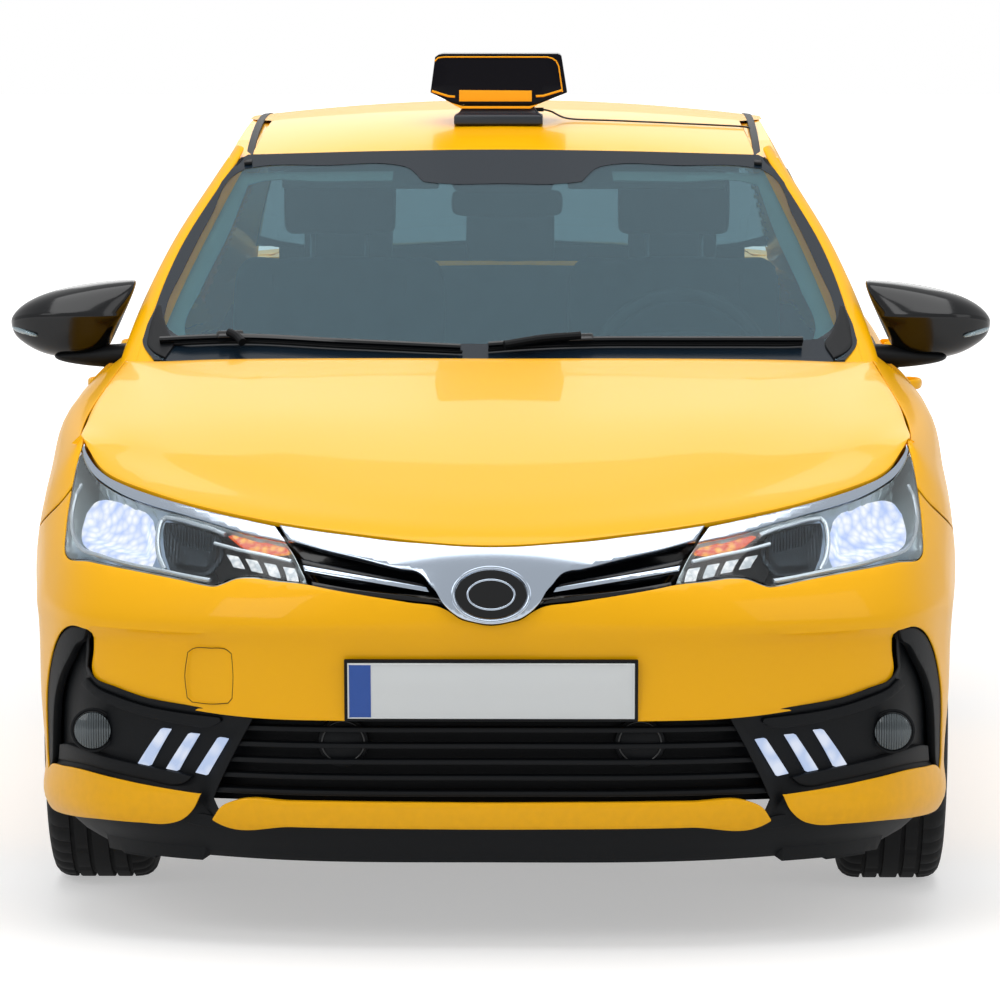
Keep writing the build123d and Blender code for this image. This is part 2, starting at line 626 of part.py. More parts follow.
# Glass: height, y at the centre, half width and y at the edge.
WINDSCREEN_ROWS = [
    (955, AXLE_F + 173, 760, AXLE_F + 248), (1190, AXLE_F + 605, 690, AXLE_F + 695),
    (1390, AXLE_F + 986, 620, AXLE_F + 1076),
]
BACKLIGHT_ROWS = [
    (1050, AXLE_R + 328, 760, AXLE_R + 250), (1230, AXLE_R - 22, 690, AXLE_R - 108),
    (1415, AXLE_R - 385, 600, AXLE_R - 450),
]
COWL_TOP = 962.0
SHELF_TOP = 1084.0


def glass_sheet(rows, near, far):
    """A bent sheet across the car, between two distances along Y from the glass's outside."""
    wires = []
    for z, centre, half, edge in rows:
        wires.append(Wire([
            ThreePointArc((-half, edge + near, z), (0, centre + near, z), (half, edge + near, z)).edge(),
            Line((half, edge + near, z), (half, edge + far, z)).edge(),
            ThreePointArc((half, edge + far, z), (0, centre + far, z), (-half, edge + far, z)).edge(),
            Line((-half, edge + far, z), (-half, edge + near, z)).edge(),
        ]))
    return Solid.make_loft(wires)


GLASS_SEAT = 0.5
pillar_room = upper_loft(-60, PILLAR_THICKNESS + GLASS_SEAT)
pillar_rooms = pillar_room + mirrored(pillar_room)
screen_hole = mirrored_xz([
    (0, COWL_TOP + GLASS_SEAT), (560, COWL_TOP + GLASS_SEAT), (576, 992), (760, 992),
    (760, 1356), (300, 1367), (0, 1372),
], AXLE_F - 100, AXLE_F + 1500)
windscreen = (glass_sheet(WINDSCREEN_ROWS, 0, 2 * GLASS) & screen_hole) - pillar_rooms
back_hole = mirrored_xz([(0, SHELF_TOP + GLASS_SEAT), (690, SHELF_TOP + GLASS_SEAT),
                         (620, 1372), (300, 1392), (0, 1400)], AXLE_R - 900, AXLE_R + 600)
rear_window = (glass_sheet(BACKLIGHT_ROWS, 0, -2 * GLASS) & back_hole) - pillar_rooms
roof_room = upper_loft(-60, PILLAR_THICKNESS + SEAM)
roof_panel = crown_loft(ROOF_ROWS, ROOF_THICKNESS) & plan_prism(ROOF_PLAN, 1200, 1600)
roof_panel = roof_panel - roof_room - mirrored(roof_room)

# ------------------------------------------------------------------ floor, bulkhead and cowl
FLOOR_SHEET = 30.0
FLOOR_X = HALF_W - 148
FOOT_X = 480.0
BULKHEAD_Y = AXLE_F + 315
floor_low = FLOOR_HEIGHT - FLOOR_SHEET + 10
floor_top = FLOOR_HEIGHT + 9.6
BOOT_FLOOR = 420.0
REAR_PANEL_Y = TAIL - 112
floor_pan = block((-FLOOR_X, FLOOR_X), (BULKHEAD_Y + 60, AXLE_R - 440), (floor_low, floor_top))
floor_pan = floor_pan + block((-FOOT_X, FOOT_X), (BULKHEAD_Y, AXLE_R - 440), (floor_low, floor_top))
floor_pan = floor_pan + block((-110, 110), (BULKHEAD_Y + 60, AXLE_R - 440), (floor_top, floor_top + 110))
floor_pan = floor_pan + block((-560, 560), (AXLE_R - 470, AXLE_R - 440), (floor_low, BOOT_FLOOR))
floor_pan = floor_pan + block((-560, 560), (AXLE_R - 470, TAIL - 220),
                              (BOOT_FLOOR - FLOOR_SHEET, BOOT_FLOOR))
floor_pan = floor_pan + block((-500, 500), (AXLE_R, REAR_PANEL_Y), (BOOT_FLOOR - FLOOR_SHEET, BOOT_FLOOR))
floor_pan = floor_pan + block((-500, 500), (REAR_PANEL_Y - 20, REAR_PANEL_Y),
                              (BOOT_FLOOR, LID_LOW - 14))
rear_shelf = block((-560, 560), (AXLE_R + 190, AXLE_R + 274), (SHELF_TOP - 34, SHELF_TOP))
for side in (-1, 1):
    rear_shelf = rear_shelf + flap_hinge(side * BOOT_HINGE_X, BOOT_AXIS, -40, 0, True)
    rear_shelf = rear_shelf + block((min(side * 560, side * 622), max(side * 560, side * 622)),
                                    (AXLE_R + 150, AXLE_R + 274), (985, SHELF_TOP - 50))
    rear_shelf = rear_shelf + block((min(side * 540, side * 560), max(side * 540, side * 560)),
                                    (AXLE_R + 190, AXLE_R + 274), (985, SHELF_TOP))

SHEET = 24.0
INNER_X = POST_X[0] - SEAM
bulkhead = block((-FOOT_X, FOOT_X), (BULKHEAD_Y, BULKHEAD_Y + SHEET), (floor_top + SEAM, 930))
bulkhead = bulkhead + block((-INNER_X, INNER_X), (BULKHEAD_Y, BULKHEAD_Y + SHEET), (680, 930))
for side in (-1, 1):
    x = sorted((side * FOOT_X, side * INNER_X))
    bulkhead = bulkhead + block(x, (BULKHEAD_Y + 62, BULKHEAD_Y + 62 + SHEET),
                                (floor_top + SEAM, 704))
    bulkhead = bulkhead + block(x, (BULKHEAD_Y, BULKHEAD_Y + 62 + SHEET), (680, 704))
    x = sorted((side * (FOOT_X - SHEET), side * FOOT_X))
    bulkhead = bulkhead + block(x, (BULKHEAD_Y, BULKHEAD_Y + 62 + SHEET), (floor_top + SEAM, 704))
    bulkhead = bulkhead + flap_hinge(side * BONNET_HINGE_X, BONNET_AXIS, 40, 0, True)
    x = sorted((side * (BONNET_HINGE_X - 40), side * (BONNET_HINGE_X + 40)))
    bulkhead = bulkhead + block(x, (BULKHEAD_Y, BULKHEAD_Y + SHEET), (930, 972))
COWL_X = BONNET_HINGE_X - 41
cowl = plan_prism([
    (0, AXLE_F + 178), (400, AXLE_F + 203), (COWL_X, AXLE_F + 236),
    (COWL_X, BULKHEAD_Y + SHEET), (0, BULKHEAD_Y + SHEET),
], 930 + SEAM, COWL_TOP)

# -------------------------------------------------------------- front frame and running gear
RAIL_X = 420.0
FRONT_BEAM = (NOSE + 196, NOSE + 232)
front_frame = block((-RAIL_X - 30, RAIL_X + 30), FRONT_BEAM, (330, 400))
for side in (-1, 1):
    x = sorted((side * (RAIL_X - 30), side * (RAIL_X + 30)))
    front_frame = front_frame + block(x, (NOSE + 90, BULKHEAD_Y - SEAM), (430, 520))
    front_frame = front_frame + block(x, FRONT_BEAM, (330, 640))
front_frame = front_frame + block((-RAIL_X + 22, RAIL_X - 22), FRONT_BEAM, (640, 690))
front_frame = front_frame + block((-RAIL_X, RAIL_X), (AXLE_F - 60, AXLE_F + 60), (215, 265))
# McPherson legs: a strut each side, its tower, the lower arm and the eyes of the steering pivot.
PIVOT_X = WHEEL_X - 70
PIVOT_PIN = 8.0
PIVOT_RISE = 110.0
EYE = 20.0
STRUT_X = WHEEL_X - 160
STRUT_TOP = 800.0


def steering_leg():
    low, high = TYRE_RADIUS - PIVOT_RISE, TYRE_RADIUS + PIVOT_RISE
    leg = None
    for z0, start in ((low - EYE, RAIL_X - 40), (high, STRUT_X - 10)):
        arm = block((start, PIVOT_X), (AXLE_F - 15, AXLE_F + 15), (z0, z0 + EYE))
        eye = Pos(PIVOT_X, AXLE_F, z0 + EYE / 2) * Cylinder(18, EYE)
        bore = Pos(PIVOT_X, AXLE_F, z0 + EYE / 2) * Cylinder(PIVOT_PIN + PIN_PLAY, EYE + 2)
        piece = (arm + eye) - bore
        leg = piece if leg is None else leg + piece
    strut = rod((STRUT_X, AXLE_F, high), (STRUT_X, AXLE_F, STRUT_TOP), 25)
    coil = rod((STRUT_X, AXLE_F, 2 * TYRE_RADIUS + 15), (STRUT_X, AXLE_F, STRUT_TOP - 30), 52)
    tower = block((RAIL_X + 30, STRUT_X + 60), (AXLE_F - 70, AXLE_F + 70), (STRUT_TOP, STRUT_TOP + 16))
    wall = block((RAIL_X + 14, RAIL_X + 30), (AXLE_F - 70, AXLE_F + 70), (500, STRUT_TOP + 16))
    link = block((RAIL_X - 30, RAIL_X - 10), (AXLE_F - 60, AXLE_F + 60), (low - EYE, 430))
    return leg + strut + coil + tower + wall + link


front_frame = front_frame + steering_leg() + mirrored(steering_leg())


def knuckle():
    """The upright between the pivot eyes, with the spindle that carries the wheel."""
    low, high = TYRE_RADIUS - PIVOT_RISE, TYRE_RADIUS + PIVOT_RISE
    play = PIN_PLAY
    post = rod((PIVOT_X, AXLE_F, low + play), (PIVOT_X, AXLE_F, high - play), 14)
    pin = rod((PIVOT_X, AXLE_F, low - EYE), (PIVOT_X, AXLE_F, high + EYE), PIVOT_PIN)
    carrier = rod((PIVOT_X - 22, AXLE_F, TYRE_RADIUS), (WHEEL_X - 18, AXLE_F, TYRE_RADIUS), 40)
    spindle = rod((PIVOT_X, AXLE_F, TYRE_RADIUS), (WHEEL_X + 40, AXLE_F, TYRE_RADIUS), SPINDLE)
    caliper = block((WHEEL_X - 34, WHEEL_X + 26), (AXLE_F + 98, AXLE_F + 160),
                    (TYRE_RADIUS - 50, TYRE_RADIUS + 50))
    slot = rod((WHEEL_X - 13, AXLE_F, TYRE_RADIUS), (WHEEL_X + 18, AXLE_F, TYRE_RADIUS),
               BRAKE_DISC_RADIUS + 5)
    bracket = block((WHEEL_X - 34, WHEEL_X - 14), (AXLE_F, AXLE_F + 110),
                    (TYRE_RADIUS - 22, TYRE_RADIUS + 22))
    return post + pin + carrier + spindle + ((caliper - slot) + bracket)


SPINDLE = 14.0


def wheel(y):
    """Alloy rim with its spokes, hub and brake disc, turning on the spindle."""
    half = RIM_WIDTH / 2
    lip = RIM_RADIUS + 14
    well = RIM_RADIUS - 22
    profile = Polyline(
        (half + 8, RIM_RADIUS - 8), (half + 8, lip), (half, lip), (half, RIM_RADIUS),
        (half - 40, RIM_RADIUS), (half - 60, well), (-half + 60, well),
        (-half + 40, RIM_RADIUS), (-half, RIM_RADIUS), (-half, lip), (-half - 8, lip),
        (-half - 8, RIM_RADIUS - 8), (-half + 38, RIM_RADIUS - 8), (-half + 56, well - 8),
        (half - 56, well - 8), (half - 38, RIM_RADIUS - 8), close=True)
    barrel = revolve(make_face(profile), Axis.X)
    face = rod((20, 0, 0), (20 + HUB_LENGTH - 12, 0, 0), HUB_RADIUS)
    hat = rod((-14, 0, 0), (30, 0, 0), HUB_RADIUS)
    disc = rod((-8, 0, 0), (13, 0, 0), BRAKE_DISC_RADIUS)
    body = barrel + face + hat + disc
    for index in range(SPOKE_COUNT):
        spoke = block((44, 68), (-34, 34), (HUB_RADIUS - 14, RIM_RADIUS - 4))
        body = body + Rot(360 / SPOKE_COUNT * index, 0, 0) * spoke
    body = body - rod((-60, 0, 0), (42, 0, 0), SPINDLE + PIN_PLAY)
    return Pos(WHEEL_X, y, TYRE_RADIUS) * body


def tyre(y):
    half = TYRE_WIDTH / 2
    bead = RIM_WIDTH / 2 - BEAD_CLEARANCE
    inner = RIM_RADIUS + BEAD_CLEARANCE
    lip = RIM_RADIUS + 14 + BEAD_CLEARANCE
    side = [(bead, inner), (bead, lip), (bead + 9, lip), (half - 3, lip + 16), (half, lip + 42),
            (half - 3, TYRE_RADIUS - 26), (half - 12, TYRE_RADIUS - 8), (half - 24, TYRE_RADIUS)]
    points = side + [(-x, r) for x, r in reversed(side)]
    ring = revolve(make_face(Polyline(*points, close=True)), Axis.X)
    return Pos(WHEEL_X, y, TYRE_RADIUS) * ring


# Rear axle: a twist beam on two trailing arms.
ARM_X = 540.0
REAR_WALL_Y = AXLE_R - 440
rear_axle = rod((-ARM_X, AXLE_R - 160, 305), (ARM_X, AXLE_R - 160, 305), 30)
for side in (-1, 1):
    x = side * ARM_X
    rear_axle = rear_axle + rod((x, REAR_WALL_Y + SEAM, 305), (x, AXLE_R, TYRE_RADIUS), 26)
    rear_axle = rear_axle + rod((x, AXLE_R, TYRE_RADIUS), (side * (WHEEL_X - 18), AXLE_R, TYRE_RADIUS), 40)
    rear_axle = rear_axle + rod((x, AXLE_R, TYRE_RADIUS), (side * (WHEEL_X + 40), AXLE_R, TYRE_RADIUS),
                                SPINDLE)
    rear_axle = rear_axle + rod((x, AXLE_R - 60, 310), (x, AXLE_R - 60, BOOT_FLOOR - FLOOR_SHEET - SEAM), 45)
rear_axle = rear_axle.cut(block((-1000, 1000), (REAR_WALL_Y - 60, REAR_WALL_Y + SEAM), (0, 500)))

# ----------------------------------------------------------------- engine, tank and exhaust
engine = block((-330, 330), (NOSE + 290, BULKHEAD_Y - 130), (290, 690))
engine = engine + block((-RAIL_X + 30 + SEAM, RAIL_X - 30 - SEAM), (AXLE_F - 350, AXLE_F - 250), (440, 510))
fuel_tank = block((-430, 60), (REAR_WALL_Y - 560, REAR_WALL_Y - 30), (150, floor_low - SEAM))
MUFFLER = (AXLE_R + 430, AXLE_R + 700)
exhaust = rod((240, BULKHEAD_Y + 120, 168), (240, AXLE_R - 300, 168), 24)
exhaust = exhaust + rod((240, AXLE_R - 300, 168), (240, AXLE_R - 60, 228), 24)
exhaust = exhaust + rod((240, AXLE_R - 60, 228), (240, AXLE_R + 160, 228), 24)
exhaust = exhaust + rod((240, AXLE_R + 160, 228), (330, MUFFLER[0] + 10, 275), 24)
exhaust = exhaust + block((210, 470), MUFFLER, (205, 345))
exhaust = exhaust + rod((420, MUFFLER[1] - 5, 262), (420, TAIL - 135, 248), 24)
for y, low in ((BULKHEAD_Y + 300, 170), (REAR_WALL_Y - 100, 170)):
    exhaust = exhaust + block((232, 248), (y - 10, y + 10), (low, floor_low - SEAM))
exhaust = exhaust + block((300, 380), (MUFFLER[0] + 60, MUFFLER[1] - 60),
                          (340, BOOT_FLOOR - FLOOR_SHEET - SEAM))

# --------------------------------------------------------------------------------- cabin
SEAT_X = 370.0
seat_cushion = prism_yz([(-310, 395), (220, 375), (230, 480), (-280, 520), (-330, 480)],
                        SEAT_X - 255, SEAT_X + 255, 25)
seat_base = block((SEAT_X - 210, SEAT_X + 210), (-240, 190), (floor_top + SEAM, 400))
seat_back = prism_yz([(120, 440), (250, 440), (430, 1120), (330, 1130)],
                     SEAT_X - 245, SEAT_X + 245, 25)
seat_head = prism_yz([(345, 1160), (440, 1155), (462, 1310), (372, 1318)],
                     SEAT_X - 130, SEAT_X + 130, 20)
seat_posts = block((SEAT_X - 60, SEAT_X + 60), (372, 400), (1100, 1180))
front_seat = seat_cushion + seat_base + seat_back + seat_head + seat_posts
bench_cushion = prism_yz([(520, 425), (1050, 425), (1050, 470), (540, 530), (500, 500)], -610, 610, 18)
bench_base = block((-560, 560), (560, REAR_WALL_Y - 31), (floor_top + SEAM, 430))
bench_back = prism_yz([(960, 460), (1090, 460), (1230, 1060), (1130, 1070)], -610, 610, 18)
rear_seat = bench_cushion + bench_base + bench_back
rear_seat = rear_seat.cut(block((-700, 700), (REAR_WALL_Y - 31, 1200), (0, BOOT_FLOOR + SEAM)))
rear_seat = rear_seat.cut(block((-112, 112), (0, REAR_WALL_Y), (0, floor_top + 112)))
for x in (-380, 0, 380):
    rear_seat = rear_seat + prism_yz([(1150, 1050), (1215, 1050), (1225, 1190), (1160, 1195)],
                                     x - 110, x + 110, 15)
DASH_FACE_Y = AXLE_F + 600
dash_back = BULKHEAD_Y + SHEET + SEAM
dashboard = prism_yz([
    (dash_back, 712), (dash_back, 960), (dash_back + 20, 985), (AXLE_F + 480, 1004), (DASH_FACE_Y - 10, 985),
    (DASH_FACE_Y + 10, 930), (DASH_FACE_Y - 20, 760), (DASH_FACE_Y - 80, 712),
], -INNER_X, INNER_X)
dashboard = dashboard - block((-INNER_X - 10, -640), (-2000, 0), (900, 1100))
dashboard = dashboard - block((640, INNER_X + 10), (-2000, 0), (900, 1100))
COLUMN_TILT = 25.0
WHEEL_CENTRE = (SEAT_X, DASH_FACE_Y + 190, 920.0)
column_dir = Vector(0, -cos(radians(COLUMN_TILT)), -sin(radians(COLUMN_TILT)))


def on_column(distance):
    c = Vector(*WHEEL_CENTRE) + column_dir * distance
    return (c.X, c.Y, c.Z)


column_tube = rod(on_column(60), on_column(240), 32) - rod(on_column(0), on_column(170), 12 + PIN_PLAY)
dashboard = dashboard + column_tube - rod(on_column(0), on_column(170), 12 + PIN_PLAY)
RING_RADIUS = 180.0
steer_plane = Plane(origin=WHEEL_CENTRE, z_dir=column_dir * -1)
steering_wheel = steer_plane * (Torus(RING_RADIUS, 15) + Cylinder(62, 36)
                                + Box(2 * RING_RADIUS, 34, 16)
                                + Pos(0, -RING_RADIUS / 2, 0) * Box(34, RING_RADIUS, 16))
steering_wheel = steering_wheel + rod(on_column(10), on_column(165), 12)

# ------------------------------------------------------------------------- door mirrors
MIRROR_Y = AXLE_F + 495.0
# Across the car: x, y offset, height, depth, tall.
MIRROR_ROWS = [
    (HALF_W - 128, 0, 1088, 60, 72), (HALF_W - 78, -14, 1064, 150, 150),
    (HALF_W - 8, -18, 1056, 165, 156), (HALF_W + 60, -8, 1052, 120, 116),
    (HALF_W + 97, 4, 1050, 52, 46),
]
sections = []
for x, dy, z, deep, tall in MIRROR_ROWS:
    plane = Plane(origin=(x, MIRROR_Y + dy, z), x_dir=(0, 1, 0), z_dir=(1, 0, 0))
    sections.append(plane * RectangleRounded(deep, tall, min(deep, tall) * 0.38))
mirror = Solid.make_loft([s.wire() for s in sections])
mirror_arm = block((HALF_W - 160, HALF_W - 50), (MIRROR_Y - 25, MIRROR_Y + 25), (1002, 1030))
mirror = mirror + mirror_arm
mirror = mirror - upper_loft(-0.3, 140)

# ------------------------------------------------------------------ lamps, sign, plates, wipers
POD_X = 530.0
pod_zone = block((POD_X, HALF_W + 50), (NOSE - 50, AXLE_F), (0, 700))
fog_pod = (nose_shell(10, 60) & mouth_prism) & pod_zone
middle_zone = block((-POD_X + SEAM, POD_X - SEAM), (NOSE - 50, AXLE_F), (0, 700))
grille_lower = grille_lower & middle_zone

SIGN_Y = AXLE_F + 1215.0
SIGN_X = -12.0
SIGN_BASE = 1442.0
sign_base = prism_xz([(-93, SIGN_BASE), (93, SIGN_BASE), (84, SIGN_BASE + 30), (-84, SIGN_BASE + 30)],
                     SIGN_Y - 60, SIGN_Y + 60)
sign_box = prism_xz([(-82, SIGN_BASE + 30), (82, SIGN_BASE + 30), (146, SIGN_BASE + 52),
                     (124, SIGN_BASE + 140), (-124, SIGN_BASE + 140), (-146, SIGN_BASE + 52)],
                    SIGN_Y - 55, SIGN_Y + 55)
taxi_sign = Pos(SIGN_X, 0, 0) * (sign_base + sign_box)
foot = Pos(SIGN_X, 0, 0) * block((-93, 93), (SIGN_Y - 60, SIGN_Y + 60), (1400, SIGN_BASE + 1))
roof_top = crown_loft(ROOF_ROWS, ROOF_THICKNESS + 40)
taxi_sign = (taxi_sign + foot) - Pos(0, 0, 0.3) * roof_top

PLATE = (520.0, 112.0, 3.0)
FRONT_PLATE = (NOSE + 8.6, 478.0, 10.0)
REAR_PLATE = (TAIL - 65.9, 850.0, 6.9)
plate_blank = Box(PLATE[0], PLATE[2], PLATE[1])
plates = [Pos(0, y, z) * Rot(tilt, 0, 0) * plate_blank for y, z, tilt in (FRONT_PLATE, REAR_PLATE)]

# The sign's cable: out of a grommet on the sign's foot, over the roof and into the left rail.
CABLE = 4.0
CABLE_ROUTE = [
    (82, -120, 1461), (98, -120, 1459), (114, -118, 1449), (134, -116, 1441),
    (180, -114, 1438.8), (232, -107, 1437.4), (289, -98, 1434.6), (345, -80, 1431.8),
    (392, -68, 1429.2), (444, -48, 1426.2), (486, -26, 1423.6), (512, -12, 1421.8),
    (528, -6, 1418.5), (536, -4, 1410), (538, -3, 1400),
]
grommet = rod((SIGN_X + 80, -120, 1461), (CABLE_ROUTE[0][0], -120, 1461), CABLE)
taxi_sign = taxi_sign + grommet
cable_hole = rod((537.2, -3.5, 1399.7), (537.2, -3.5, 1440), CABLE + 0.5)
points = [Vector(*p) for p in CABLE_ROUTE]
radii = []
for before, here, after in zip(points, points[1:], points[2:]):
    turn = (here - before).get_angle(after - here)
    shorter = min((here - before).length, (after - here).length)
    radii.append(0.45 * shorter / tan(radians(turn / 2)))
print("cable radii:", [round(r, 1) for r in radii])
cable_path = FilletPolyline(*points, radius=radii)
sign_cable = sweep(Plane(origin=points[0], z_dir=cable_path % 0) * Circle(CABLE / 2), path=cable_path)
print("cable length:", round(cable_path.length, 1),
      "volume ratio:", round(sign_cable.volume / (cable_path.length * pi * CABLE ** 2 / 4), 4))

# Parked wipers: (hub x, hub height), then the blade's two ends.
WIPERS = [((-470, 1004), (-648, 1020), (-60, 1006)), ((10, 1010), (-12, 1026), (540, 1010))]
wiper_sheet = glass_sheet(WINDSCREEN_ROWS, -0.8, -26)
wipers = None
for (hub_x, hub_z), (x0, z0), (x1, z1) in WIPERS:
    blade = prism_xz([(x0, z0), (x1, z1), (x1, z1 + 12), (x0, z0 + 12)], AXLE_F - 50, AXLE_F + 500)
    middle = ((x0 + x1) / 2, (z0 + z1) / 2)
    arm = prism_xz([(hub_x - 30, hub_z - 8), (hub_x + 30, hub_z - 8), (middle[0] + 12, middle[1] + 4),
                    (middle[0] - 12, middle[1] + 10), (hub_x - 30, hub_z + 14)],
                   AXLE_F - 50, AXLE_F + 500)
    wiper = wiper_sheet & (blade + arm)
    wipers = wiper if wipers is None else wipers + wiper

for name, shape in (("door_front", door_front), ("door_rear", door_rear)):
    out(name + "_left", shape)
    out(name + "_right", mirrored(shape))
for name, shape in (("glass_front", glass_front), ("glass_rear", glass_rear), ("side_frame", side_frame),
                    ("wing", wing), ("headlamp", headlamp), ("tail_lamp", tail_lamp),
                    ("mirror", mirror), ("fog_pod", fog_pod), ("front_seat", front_seat),
                    ("knuckle", knuckle()),
                    ("wheel_front", wheel(AXLE_F)), ("wheel_rear", wheel(AXLE_R)),
                    ("tyre_front", tyre(AXLE_F)), ("tyre_rear", tyre(AXLE_R))):
    out(name + "_left", shape)
    out(name + "_right", mirrored(shape))
out("side_frame_left", side_frame - cable_hole)
for name, shape in (("roof_panel", roof_panel), ("windscreen", windscreen), ("rear_window", rear_window),
                    ("bonnet", bonnet), ("boot_lid", boot_lid), ("bumper_front", bumper_front),
                    ("bumper_rear", rear_bumper), ("grille_upper", grille_upper),
                    ("grille_lower", grille_lower),
                    ("floor_pan", floor_pan), ("rear_shelf", rear_shelf), ("bulkhead", bulkhead),
                    ("cowl", cowl), ("front_frame", front_frame), ("rear_axle", rear_axle),
                    ("engine", engine),
                    ("fuel_tank", fuel_tank), ("exhaust", exhaust), ("rear_seat", rear_seat),
                    ("dashboard", dashboard), ("steering_wheel", steering_wheel), ("taxi_sign", taxi_sign),
                    ("plate_front", plates[0]), ("plate_rear", plates[1]),
                    ("sign_cable", sign_cable), ("wipers", wipers)):
    out(name, shape)

os.makedirs("parts", exist_ok=True)
for name, shape in parts.items():
    export_step(shape, f"parts/{name}.step")
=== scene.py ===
import math

import bpy
import bmesh
import numpy as np
from mathutils import Matrix, Vector
from mathutils.bvhtree import BVHTree
from mathutils.geometry import delaunay_2d_cdt


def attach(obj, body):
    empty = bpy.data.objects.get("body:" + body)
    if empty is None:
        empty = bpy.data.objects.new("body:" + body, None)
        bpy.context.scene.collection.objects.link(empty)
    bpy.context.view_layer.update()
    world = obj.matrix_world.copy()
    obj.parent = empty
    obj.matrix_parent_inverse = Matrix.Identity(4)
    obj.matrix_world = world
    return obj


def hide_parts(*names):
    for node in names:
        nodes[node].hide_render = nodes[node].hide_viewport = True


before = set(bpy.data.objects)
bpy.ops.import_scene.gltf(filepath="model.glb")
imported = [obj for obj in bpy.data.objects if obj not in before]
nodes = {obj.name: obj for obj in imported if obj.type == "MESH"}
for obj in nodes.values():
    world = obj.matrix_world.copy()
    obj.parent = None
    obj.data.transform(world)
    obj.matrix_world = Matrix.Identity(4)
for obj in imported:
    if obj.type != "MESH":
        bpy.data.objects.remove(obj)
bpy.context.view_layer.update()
SIDES = (("left", 1), ("right", -1))

# ---------------------------------------------------------------------------------- camera
# A long lens stands eleven metres ahead of the car at head height, a little to its left,
# and looks slightly down along the bonnet.
CAMERA_PLACE = (0.14275, -13.3104, 1.81829)
CAMERA_DOWN = math.radians(5.17)
CAMERA_TURN = math.radians(0.66)
CAMERA_LENS_MM = 222.3

camera_data = bpy.data.cameras.new("camera")
camera_data.lens = CAMERA_LENS_MM
camera_data.sensor_width = 36.0
camera_data.clip_end = 200.0
camera = bpy.data.objects.new("camera", camera_data)
bpy.context.scene.collection.objects.link(camera)
camera.location = CAMERA_PLACE
camera.rotation_euler = (math.pi / 2 - CAMERA_DOWN, 0, CAMERA_TURN)
bpy.context.scene.camera = camera
bpy.context.scene.view_settings.view_transform = "Standard"
bpy.ops.object.select_all(action="DESELECT")


# ----------------------------------------------------------------------- roof sign's cable
# Black two-core lead, PVC sheathed, 4 mm thick. It leaves the sign's foot through a grommet,
# lies across the roof in a loose curve and goes in at the side rail.
CABLE_WIDTH = 0.004
CABLE_ROUTE = [
    (0.082, -0.120, 1.461), (0.098, -0.120, 1.459), (0.114, -0.118, 1.449), (0.134, -0.116, 1.441),
    (0.180, -0.114, 1.4388), (0.232, -0.107, 1.4374), (0.289, -0.098, 1.4346), (0.345, -0.080, 1.4318),
    (0.392, -0.068, 1.4292), (0.444, -0.048, 1.4262), (0.486, -0.026, 1.4236), (0.512, -0.012, 1.4218),
    (0.528, -0.006, 1.4185), (0.536, -0.004, 1.410), (0.538, -0.003, 1.400),
]


def colour(code):
    """An sRGB hex value as the linear colour that a shader takes."""
    parts = [int(code[i:i + 2], 16) / 255 for i in (1, 3, 5)]
    return [c / 12.92 if c <= 0.04045 else ((c + 0.055) / 1.055) ** 2.4 for c in parts] + [1.0]


def add(tree, kind, values=None, links=None, **settings):
    """Adds a node, sets its properties and its sockets' values, and links its inputs."""
    made = tree.nodes.new(kind)
    for name, value in settings.items():
        setattr(made, name, value)
    for socket, value in (values or {}).items():
        made.inputs[socket].default_value = value
    for socket, source in (links or {}).items():
        tree.links.new(source, made.inputs[socket])
    return made


def material(name, code, **values):
    """A new material with one Principled shader; returns it, its tree and the shader."""
    made = bpy.data.materials.new(name)
    made.use_nodes = True
    shader = made.node_tree.nodes["Principled BSDF"]
    shader.inputs["Base Color"].default_value = colour(code)
    for socket, value in values.items():
        shader.inputs[socket.replace("_", " ")].default_value = value
    return made, made.node_tree, shader


def relief(tree, shader, kind, values, height, strength=1.0, output="Fac"):
    """Relief from a pattern that is read from the object's own place; its height is in metres."""
    place = add(tree, "ShaderNodeTexCoord")
    pattern = add(tree, "ShaderNodeTex" + kind, values, {"Vector": place.outputs["Object"]})
    bump = add(tree, "ShaderNodeBump", {"Strength": strength, "Distance": height},
               {"Height": pattern.outputs[output]})
    tree.links.new(bump.outputs["Normal"], shader.inputs["Normal"])
    return pattern


def grain(tree, shader, size_mm, height_mm, detail=2.0):
    """Fine relief with a grain of the given size."""
    return relief(tree, shader, "Noise", {"Scale": 500 / size_mm, "Detail": detail}, height_mm / 1000)


def ramped(tree, value, low, high, first, last):
    """A colour that runs from the first to the last as the value runs from low to high."""
    ramp = add(tree, "ShaderNodeValToRGB", links={"Fac": value})
    for end, place, code in ((0, low, first), (1, high, last)):
        ramp.color_ramp.elements[end].position = place
        ramp.color_ramp.elements[end].color = colour(code)
    return ramp.outputs["Color"]


def grained(name, code, size_mm, height_mm, detail=2.0, **values):
    """A material with a fine grain all over."""
    made, tree, shader = material(name, code, **values)
    grain(tree, shader, size_mm, height_mm, detail)
    return made


# PVC sheath, extruded: satin black with a faint drawn grain.
cable_sheath = grained("extruded_pvc_sheath", "#0B0D10", 1.5, 0.03, Roughness=0.42, IOR=1.53)

lead = bpy.data.curves.new("sign_lead", "CURVE")
lead.dimensions = "3D"
lead.bevel_depth = CABLE_WIDTH / 2
lead.bevel_resolution = 4
lead.use_fill_caps = True
line = lead.splines.new("NURBS")
line.points.add(len(CABLE_ROUTE) - 1)
for point, place in zip(line.points, CABLE_ROUTE):
    point.co = (*place, 1.0)
line.order_u = 3
line.use_endpoint_u = True
line.resolution_u = 8
sign_lead = bpy.data.objects.new("sign_lead", lead)
bpy.context.scene.collection.objects.link(sign_lead)
lead.materials.append(cable_sheath)
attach(sign_lead, "root")
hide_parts("sign_cable")

